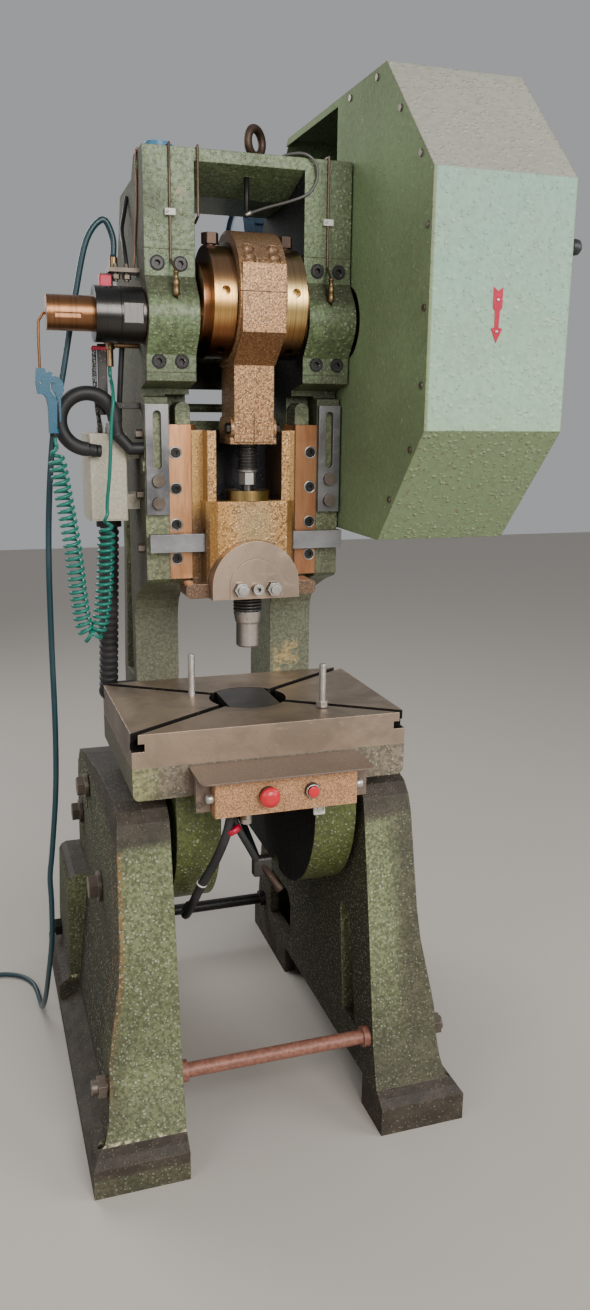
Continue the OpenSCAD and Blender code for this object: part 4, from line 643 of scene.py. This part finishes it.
dress(oily_cast("rod_cast", (0.51, 0.265, 0.115), (0.34, 0.17, 0.07), rod_regions),
      "connecting_rod", "rod_cap")
dress(oily_cast("ram_cast", (0.78, 0.45, 0.185), (0.56, 0.30, 0.105), ram_regions), "ram")


def turned_metal(name, pale, dark, rough, ring=260.0):
    """Metal turned on a lathe about the shaft's axis: fine rings and a brown sheen."""
    f = Finish(name, Metallic=1.0, Coat_Weight=0.2, Coat_Roughness=0.15)
    rings = f.noise(1.0, 2.0, 0.6, at=f.stretched(ring, 3.0, 3.0))
    stains = f.noise(5.0, 4.0, warp=0.5)
    colour = f.mix(stains.step(0.35, 0.7), pale, dark)
    colour = f.mix(rings.step(0.5, 0.7) * 0.4, colour, tuple(c * 0.55 for c in dark))
    return f.set(Base_Color=colour, Roughness=rough + rings * 0.12,
                 Normal=f.bump(rings, 0.0003, 0.4, round_edges=0.0015))


shaft_bronze = turned_metal("shaft_bronze", (0.29, 0.135, 0.06), (0.17, 0.078, 0.033), 0.3)
dress(shaft_bronze, "crankshaft")
dress(turned_metal("sleeve_steel", (0.16, 0.12, 0.09), (0.10, 0.07, 0.05), 0.3), "stroke_sleeve")


def ring_bronze(name, top, highlight_middle, low):
    """A ring's colours from its top to its lowest part, with fine turned lines: a painted highlight band
    across the middle, and painted shade that darkens to black towards the bottom.
    """
    shade_black, line_brown = (0.012, 0.008, 0.008), (0.10, 0.05, 0.02)
    f = Finish(name, Metallic=1.0, Coat_Weight=0.15, Coat_Roughness=0.15)
    z = f.parts(f.place)[2]
    lines = f.noise(1.0, 3.0, 0.7, at=f.stretched(330.0, 2.0, 2.0))
    # Painted highlight: the bright middle band. Painted shade: the low colour and the black towards the
    # bottom.
    colour = f.mix(z.step(1.690, 1.745), highlight_middle, top)
    colour = f.mix(z.step(1.665, 1.635), colour, low)
    colour = f.mix(z.step(1.635, 1.600) * 0.9, colour, shade_black)
    colour = f.mix(lines.step(0.48, 0.72) * 0.5, colour, line_brown)
    return f.set(Base_Color=colour, Roughness=0.22 + lines * 0.16,
                 Normal=f.bump(lines, 0.0003, 0.4, round_edges=0.0015))


ring_gold = ring_bronze("ring_gold", (0.36, 0.24, 0.14), (0.80, 0.56, 0.22), (0.34, 0.17, 0.06))
ring_copper = ring_bronze("ring_copper", (0.30, 0.165, 0.09), (0.62, 0.36, 0.12), (0.26, 0.10, 0.035))
dress(ring_gold, "stroke_rings")
ring_y, ring_z, ring_reach = -0.170, 1.690, 0.1036
zoned("stroke_rings", [ring_copper, eye_iron],
      lambda spot, way: 2 if math.hypot(spot.y - ring_y, spot.z - ring_z) > ring_reach else spot.x < 0)
dress(turned_metal("bush_bronze", (0.50, 0.33, 0.14), (0.36, 0.22, 0.09), 0.3), "crank_bushes")
dress(turned_metal("ball_brass", (0.52, 0.38, 0.15), (0.36, 0.22, 0.08), 0.25), "ball_ring")
dress(turned_metal("valve_bronze", (0.30, 0.195, 0.105), (0.17, 0.105, 0.055), 0.32), "fittings")
black_steel = handled_iron("black_steel", (0.045, 0.043, 0.042), (0.022, 0.021, 0.02), 0.33)
dress(black_steel, "cap_screws", "gib_screws", "rod_bolts", "rear_tie_rod")
dress(turned_metal("collar_steel", (0.070, 0.066, 0.063), (0.028, 0.027, 0.027), 0.24), "cam_collars")


# Guides: two bronze strips screwed to the frame, with the straight marks of the scraper on
# them, wet with oil. The right one lies in the shade and is darker.
def scraped_bronze():
    oil_brown, right_brown = (0.28, 0.11, 0.04), (0.22, 0.075, 0.03)
    f = Finish("scraped_bronze", Metallic=0.75, Coat_Weight=0.3, Coat_Roughness=0.15)
    streaks = f.noise(9.0, 5.0, 0.6, at=f.stretched(9.0, 5.0, 0.8), warp=0.4)
    oil = f.noise(11.0, 4.0).step(0.5, 0.72)
    colour = f.mix(streaks.step(0.35, 0.68), (0.64, 0.33, 0.165), (0.42, 0.185, 0.075))
    colour = f.mix(oil * 0.5, colour, oil_brown)
    colour = f.mix(f.parts(f.place)[0].step(0.0, 0.05) * 0.45, colour, right_brown)
    return f.set(Base_Color=colour, Roughness=0.28 + streaks * 0.15,
                 Normal=f.bump(streaks, 0.0004, 0.3, round_edges=0.001))


dress(scraped_bronze(), "gib_left", "gib_right")

# Small fittings: the oil cap, the blow gun and the buttons are moulded plastic, the belts,
# conduit and ring hose are rubber, and the boxes, the motor and the tie rod are enamelled.
dress(soft_plastic("blue_cap", (0.03, 0.17, 0.30), 0.35), "oil_cap")
dress(soft_plastic("gun_blue", (0.002, 0.085, 0.15), 0.30), "blow_gun", "gun_trigger")
nozzle_low, grip_low = 1.5625, 1.4435
zoned("blow_gun", [shaft_bronze, black_steel],
      lambda spot, way: 1 if spot.z > nozzle_low else 2 * (spot.z < grip_low))
dress(soft_plastic("red_button", (0.62, 0.018, 0.03), 0.28), "stop_button", "start_button")
dress(soft_plastic("black_plastic", (0.018, 0.018, 0.02), 0.45),
      "button_collars", "guard_knob", "hose_coupling")
dress(cable_rubber, "drive_belts", "conduit", "ring_hose", "control_cables")
dress(handled_iron("line_copper", (0.17, 0.125, 0.085), (0.09, 0.065, 0.045), 0.42), "oil_lines")


def enamel(name, pale, deep, rough, grain_size=170.0):
    """Stoved enamel with a fine grain and worn edges."""
    f = Finish(name, Metallic=0.15)
    grain = f.noise(grain_size, 3.0, 0.65)
    patches = f.noise(9.0, 4.0)
    colour = f.mix(grain.step(0.40, 0.62), deep, pale)
    colour = f.mix(patches.step(0.55, 0.8) * 0.4, colour, tuple(c * 0.5 for c in deep))
    colour = f.mix(f.edge(0.002) * 0.6, colour, tuple(min(1, c * 1.7) for c in pale))
    return f.set(Base_Color=colour, Roughness=rough + grain * 0.15,
                 Normal=f.bump(grain, 0.0009, 0.5, round_edges=0.0015))


dress(enamel("box_hammertone", (0.66, 0.36, 0.18), (0.27, 0.135, 0.065), 0.30, 430.0), "control_box")
tray_enamel = enamel("tray_enamel", (0.20, 0.145, 0.110), (0.15, 0.108, 0.082), 0.42)
dress(tray_enamel, "control_tray")
dress(enamel("cream_enamel", (0.52, 0.48, 0.38), (0.42, 0.38, 0.29), 0.45), "electrical_box")
# The motor's blue is made darker than its own colour: painted shade.
dress(enamel("motor_enamel_shaded", (0.045, 0.085, 0.14), (0.025, 0.05, 0.09), 0.4), "electric_motor")
dress(enamel("red_primer", (0.30, 0.125, 0.085), (0.20, 0.085, 0.058), 0.4, 120.0), "front_tie_rod")
zoned("front_tie_rod", [bolt_iron], lambda spot, way: abs(spot.x) > 0.311)


# Warning arrow on the guard, a red plate with two rivets, and the worn arrow that was painted
# on the left upright.
def plate_mesh(name, outline, thick, low_y):
    """A flat plate with the outline in X and Z. Its back lies at low_y + thick."""
    work = bmesh.new()
    face = work.faces.new([work.verts.new((x, low_y, z)) for x, z in outline])
    grown = bmesh.ops.extrude_face_region(work, geom=[face])["geom"]
    back = [part for part in grown if isinstance(part, bmesh.types.BMVert)]
    bmesh.ops.translate(work, verts=back, vec=(0, thick, 0))
    bmesh.ops.recalc_face_normals(work, faces=work.faces)
    mesh = bpy.data.meshes.new(name)
    work.to_mesh(mesh)
    work.free()
    return mesh


def turned_mesh(name, profile, base, way, sides=24, ring=False):
    """A turned part: (radius, distance) pairs in mm along a direction from its base.

    A ring has no end faces: its profile runs once round and closes on itself."""
    way = Vector(way).normalized()
    side = way.orthogonal().normalized()
    up = way.cross(side)
    points, faces, rings = [], [], len(profile)
    for reach, along in profile:
        for k in range(sides):
            a = 2 * math.pi * k / sides
            out = math.cos(a) * side + math.sin(a) * up
            points.append(base + (along * way + reach * out) / 1000)
    for i in range(rings if ring else rings - 1):
        for k in range(sides):
            n, above_it = (k + 1) % sides, (i + 1) % rings * sides
            faces.append((i * sides + k, i * sides + n, above_it + n, above_it + k))
    if not ring:
        faces.append(tuple(reversed(range(sides))))
        faces.append(tuple(range((rings - 1) * sides, rings * sides)))
    mesh = bpy.data.meshes.new(name)
    mesh.from_pydata(points, [], faces)
    return mesh


def turned_piece(name, profile, base, way, material, slot, body="frame", smooth=True, **form):
    """A turned part as a piece of its own. Its base is in mm."""
    return new_piece(name, turned_mesh(name, profile, mm(*base), way, **form), material, body, smooth)


to_front, up_z, down_z = (0, -1, 0), (0, 0, 1), (0, 0, -1)
red_paint = enamel("arrow_red", (0.46, 0.002, 0.035), (0.40, 0.002, 0.028), 0.3)
arrow_x, arrow_z = 337, 1653
arrow = [(-9, 46), (0, 39), (9, 46), (9, 12), (5, 7), (4, -20), (11, -22), (0, -46), (-11, -22), (-4, -20),
         (-5, 7), (-9, 12)]
arrow_outline = [((arrow_x + x) / 1000, (arrow_z + z) / 1000) for x, z in arrow]
new_piece("guard_arrow", plate_mesh("guard_arrow", arrow_outline, 0.0008, -0.5518), red_paint,
          "frame", smooth=False)
for name, height in (("arrow_rivet_top", 1678), ("arrow_rivet_low", 1626)):
    turned_piece(name, [(3, 0), (3, 1.4), (2, 2.1), (0.5, 2.4)], (arrow_x, -551.5, height), to_front,
                 bright, "bright_steel")


def worn_paint():
    f = Finish("worn_cream_paint")
    return f.set(Base_Color=f.mix(f.noise(60.0), (0.42, 0.36, 0.24), (0.30, 0.28, 0.17)), Roughness=0.5,
                 Alpha=f.noise(110.0, 4.0, 0.7).step(0.44, 0.52) * 0.85,
                 Normal=f.bump(f.noise(200.0), 0.0004, 0.5))


upright_x = -134
upright_arrow = [(-2, 1843), (2, 1843), (2.4, 1876), (13, 1874), (1, 1897), (-13, 1874), (-2.4, 1876)]
upright_outline = [((upright_x + x) / 1000, z / 1000) for x, z in upright_arrow]
new_piece("upright_arrow", plate_mesh("upright_arrow", upright_outline, 0.0003, -0.1924), worn_paint(),
          "frame", smooth=False)


# Oil lines: white clips with a screw, brass compression fittings above the caps, two thin
# lines down the left side and the grey cable over the crosspiece.
def block_piece(name, low, high, bevel, material):
    """A block between two corners in mm, with rounded edges, carried by the frame."""
    work = bmesh.new()
    bmesh.ops.create_cube(work, size=1)
    low, high = mm(*low), mm(*high)
    for corner in work.verts:
        corner.co = (low + high) / 2 + Vector(c * w for c, w in zip(corner.co, high - low))
    bmesh.ops.bevel(work, geom=work.edges[:], offset=bevel / 1000, segments=3, affect="EDGES", profile=0.5)
    mesh = bpy.data.meshes.new(name)
    work.to_mesh(mesh)
    work.free()
    return new_piece(name, mesh, material, "frame", smooth=False)


def tube_piece(name, spots, steps, radius, material, sides=12):
    """A tube through spots in mm, carried by the frame."""
    line = curve_through([mm(*spot) for spot in spots], steps)
    return new_piece(name, tube_mesh(name, line, radius / 1000, sides), material, "frame")


white_clip = soft_plastic("white_clip", (0.62, 0.61, 0.55), 0.4)
brass = turned_metal("fitting_brass", (0.27, 0.19, 0.095), (0.17, 0.11, 0.055), 0.38)
copper = handled_iron("thin_copper", (0.36, 0.20, 0.13), (0.20, 0.11, 0.08), 0.35)
clip_x, clip_half, fitting_x, line_gap = 155, 10, 152, 5
fitting = [(3, -37), (5.6, -35), (6.6, -33), (6.6, -23), (5.8, -22), (5.8, -21), (6.6, -20), (6.6, -9),
           (5.2, -7), (4.4, -5), (4.4, 3), (5.6, 4), (5.6, 7), (3.4, 8)]
for side, tag in ((-1, "left"), (1, "right")):
    clip, x = "line_clip_" + tag, side * clip_x
    block_piece(clip, (x - clip_half, -200.5, 1838), (x + clip_half, -191.9, 1850), 1.2, white_clip)
    turned_piece(clip + "_screw", [(2.6, 0), (2.6, 1.5), (1.6, 2.2), (0.4, 2.4)],
                 (x - 6, -200.3, 1844), to_front, bright, "bright_steel")
    turned_piece("line_fitting_" + tag, fitting, (side * fitting_x, -227, 1731), up_z, brass, "brass")
for k in range(2):
    y = k * line_gap
    route = [(-196, y - 140, 1959), (-203, y - 140, 1959), (-206.5, y - 141, 1950), (-206.2, y - 141, 1902),
             (-206.2, y - 133, 1850), (-206.5, y - 112, 1800), (-208, y - 112, 1770), (-212, y - 112, 1749)]
    tube_piece(f"side_line_{k + 1}", route, 6, 1.9, copper, 8)
grey_sleeve = soft_plastic("grey_sleeve", (0.10, 0.095, 0.09), 0.4)
tube_piece("top_cable", [(58, -150, 1954), (74, -176, 1962), (104, -196, 1963), (126, -200, 1948),
                         (130, -199, 1920), (114, -198, 1894), (80, -190, 1879), (40, -165, 1869),
                         (12, -150, 1860)], 7, 2.6, grey_sleeve, 10)
turned_piece("top_cable_end", [(3.4, 0), (4.6, 1), (4.6, 9), (3.6, 10), (3.6, 14), (2, 15)],
             (14, -151, 1861), (-1, -0.2, -0.5), bright, "bright_steel")
turned_piece("top_cable_post", [(5, 0), (5, 74), (4, 76), (4, 84), (2.5, 85)], (4, -150, 1936), down_z,
             black_steel, "black_screws")


# Left side: the switch's red cap, the black bar over the electrical box, the braided cable
# beside it with its red clamp, and two rubber tubes. White nuts hold them on the box.
def braid():
    f = Finish("woven_braid")
    check = f.cells(330.0).step(0.30, 0.42)
    return f.set(Base_Color=f.mix(check, (0.40, 0.40, 0.38), (0.02, 0.02, 0.022)), Roughness=0.6,
                 Normal=f.bump(check, 0.0006, 0.6))


box_top = 1441.8
box_nut = [(6.5, 0), (7.5, 1), (7.5, 13), (6, 14), (6, 20), (5, 21)]
block_piece("switch_cap", (-281, -142, 1708), (-257, -119.5, 1736), 2.5, red_paint)
block_piece("cable_bar", (-286, -117.4, 1478), (-268, -111.6, 1612), 1.2, black_steel)
block_piece("cable_bar_bracket", (-284, -112, 1490), (-203.9, -104, 1502), 1.0, black_steel)
tube_piece("braided_cable", [(-291, -110, 1605), (-292, -109, 1550), (-289, -104, 1500), (-282, -84, 1460),
                             (-279, -60, 1440)], 8, 4.5, braid())
block_piece("cable_clamp", (-297, -118, 1600), (-266, -104, 1608), 1.5, red_paint)
tube_piece("side_tube", [(-236, -104, 1612), (-240, -103, 1560), (-243, -96, 1500), (-243, -80, 1441)],
           6, 5.5, cable_rubber)
tube_piece("rear_tube", [(-222, -104, 1750), (-224, -90, 1790), (-222, -52, 1830), (-212, -30, 1868),
                         (-206, -24, 1896)], 7, 4.2, cable_rubber)
for k, (x, y) in enumerate(((-279, -60), (-243, -80), (-262, -70))):
    turned_piece(f"box_nut_{k + 1}", box_nut, (x, y, box_top), up_z, white_clip, "bright_steel",
                 smooth=False, sides=12)

# Control box: turned knobs between the box and the tray's ears, a bright gland, red tape round
# both cables, a white tie, the start button's cap and ring, and a clip under the box.
knob_x, ear_x, ear_half = 142, 158, 14
for side, tag in ((-1, "left"), (1, "right")):
    turned_piece("box_knob_" + tag, [(6, 0), (8.5, 0.5), (9.5, 1.5), (9.5, 12.5), (8.5, 13.5), (6, 15.6)],
                 (side * knob_x, -442, 784), (side, 0, 0), bright, "bright_steel")
    x = side * ear_x
    block_piece("tray_ear_" + tag, (x - ear_half, -427, 752), (x + ear_half, -423.5, 822), 1.0, tray_enamel)
turned_piece("ear_bolt", [(6, 0), (6, 4), (5, 5), (2, 5)], (-166, -426.5, 768), to_front, bolt_iron,
             "worn_iron", smooth=False, sides=6)
turned_piece("cable_gland", [(11, 0), (12, 1), (12, 12), (11.2, 13), (11.2, 30), (10, 32), (4, 32.5)],
             (-71, -415, 748), down_z, bright, "bright_steel")
turned_piece("red_tape", [(14, 0), (15.5, 0.6), (15.5, 10.4), (14, 11)], (-97, -402, 704),
             (0.45, -0.15, -0.85), red_paint, "red_plastic")
turned_piece("cable_tie", [(9.2, 0), (10.6, 0), (10.6, 3.2), (9.2, 3.2)], (-149, -368.5, 579),
             (-0.28, 0.36, -0.89), white_clip, "cream_box", ring=True)
turned_piece("start_ring", [(11.8, 0), (14.0, 0), (14.0, 1.4), (12.9, 2.6), (11.8, 2.6)], (48, -462.9, 786),
             to_front, bright, "bright_steel", ring=True)
turned_piece("start_cap", [(8.2, -0.9), (11.2, -0.8), (11.2, 0.6), (10, 1.3), (2, 1.7)], (48, -468.2, 786),
             to_front, nodes["start_button"].data.materials[0], "red_plastic", body="start_button")
block_piece("box_clip", (66, -419, 716), (90, -411, 748.5), 2.5, white_clip)
turned_piece("clip_hook", [(5.5, 0), (7.5, 0), (7.5, 5), (5.5, 5)], (80, -419, 731), to_front, white_clip,
             "bright_steel", sides=16, ring=True)
block_piece("rod_bracket", (-50, -396, 588), (-11, -374, 628), 5, dark_steel)
turned_piece("rod_end", [(7.5, -12), (7.5, 40), (8.5, 42), (8.5, 52), (7.5, 53.5), (3, 53.6), (2.6, 49),
                         (1, 48.5)], (-26, -392, 604), (0.50, -0.30, -0.80), eye_iron, "worn_iron")

# Screw seats: a bright turned edge round each counterbored head in the guides, and a dark ring round each
# head in the bearing caps, which stands for the shadow in its counterbore.
screw_x, guide_face, cap_face = 142, -145, -192
gib_seat = [(10.1, -0.5), (13, -0.5), (13, 0.5), (11.8, 1.4), (10.1, 1.4)]
cap_shadow_profile = [(11.6, -0.5), (14.2, -0.5), (14.2, 0.3), (13.4, 0.8), (11.6, 0.8)]
for side, tag in ((-1, "left"), (1, "right")):
    for k, height in enumerate((1194, 1263, 1335, 1406)):
        turned_piece(f"gib_ring_{tag}_{k + 1}", gib_seat, (side * screw_x, guide_face, height), to_front,
                     bright, "bright_steel", sides=20, ring=True)
for k, (x, z) in enumerate((x, z) for x in (-180, -136, 136, 180) for z in (1579, 1755)):
    turned_piece(f"cap_ring_{k + 1}", cap_shadow_profile, (x, cap_face, z), to_front, cable_rubber, "black_screws",
                 sides=20, ring=True)

# Rear web: a cross plate between the walls of the frame's head, behind the rod, coloured black as painted
# shade. It closes the lower part of the window that shows between the bearing caps.
block_piece("rear_web", (-107.9, 46, 1532), (107.9, 60, 1590), 2, black_steel)


# Threads of the two studs on the bolster, strung by Geometry Nodes as small ribs along a line.
class Flow:
    """A Geometry Nodes tree with named inputs, built node by node."""

    def __init__(self, name, inputs):
        self.tree = bpy.data.node_groups.new(name, "GeometryNodeTree")
        self.tree.interface.new_socket("Line", in_out="INPUT", socket_type="NodeSocketGeometry")
        for label, kind in inputs.items():
            self.tree.interface.new_socket(label, in_out="INPUT", socket_type="NodeSocket" + kind)
        self.tree.interface.new_socket("Result", in_out="OUTPUT", socket_type="NodeSocketGeometry")
        self.entry = self.tree.nodes.new("NodeGroupInput")

    def add(self, kind, settings=None, **links):
        made = self.tree.nodes.new(kind)
        for setting, value in (settings or {}).items():
            setattr(made, setting, value)
        for socket, value in links.items():
            target = made.inputs[socket.replace("_", " ")]
            if isinstance(value, bpy.types.NodeSocket):
                self.tree.links.new(value, target)
            else:
                target.default_value = value
        return made


def strung(name, line, stamp, gap, material):
    """Copies of a small mesh along a line, each turned to the line's own direction."""
    flow = Flow(name + "_nodes", {"Gap": "Float", "Stamp": "Object", "Finish": "Material"})
    given = flow.entry.outputs
    curve = flow.add("GeometryNodeMeshToCurve", Mesh=given["Line"]).outputs[0]
    spots = flow.add("GeometryNodeCurveToPoints", {"mode": "LENGTH"}, Curve=curve, Length=given["Gap"])
    turn = flow.add("FunctionNodeAlignRotationToVector", {"axis": "Z"}, Vector=spots.outputs["Tangent"])
    shape = flow.add("GeometryNodeObjectInfo", Object=given["Stamp"]).outputs["Geometry"]
    copies = flow.add("GeometryNodeInstanceOnPoints", Points=spots.outputs["Points"], Instance=shape,
                      Rotation=turn.outputs[0]).outputs[0]
    real = flow.add("GeometryNodeRealizeInstances", Geometry=copies).outputs[0]
    done = flow.add("GeometryNodeSetMaterial", Geometry=real, Material=given["Finish"]).outputs[0]
    leave = flow.tree.nodes.new("NodeGroupOutput")
    flow.tree.links.new(done, leave.inputs[0])
    path = bpy.data.meshes.new(name + "_line")
    path.from_pydata(line, [(k, k + 1) for k in range(len(line) - 1)], [])
    carrier, model = bpy.data.objects.new(name + "_line", path), bpy.data.objects.new(name + "_stamp", stamp)
    for helper in (carrier, model):
        bpy.context.scene.collection.objects.link(helper)
    modifier = carrier.modifiers.new("strung", "NODES")
    modifier.node_group = flow.tree
    for label, value in (("Gap", gap), ("Stamp", model), ("Finish", material)):
        modifier[flow.tree.interface.items_tree[label].identifier] = value
    bpy.context.view_layer.update()
    mesh = bpy.data.meshes.new_from_object(carrier.evaluated_get(bpy.context.evaluated_depsgraph_get()))
    carrier.modifiers.clear()
    for helper in (carrier, model):
        bpy.data.objects.remove(helper)
    return mesh


thread_pitch, bolster_top, nut_top, stud_top = 0.0018, 897, 912, 984
rib = turned_mesh("thread_rib", [(6.6, -0.8), (7.5, 0), (6.6, 0.8)], Vector(), up_z, 20)
for k, (x, y, low) in enumerate(((-112, -128, bolster_top), (128, -284, nut_top))):
    name = f"stud_thread_{k + 1}"
    threads = strung(name, [mm(x, y, low), mm(x, y, stud_top)], rib, thread_pitch, bright)
    new_piece(name, threads, bright, "frame")
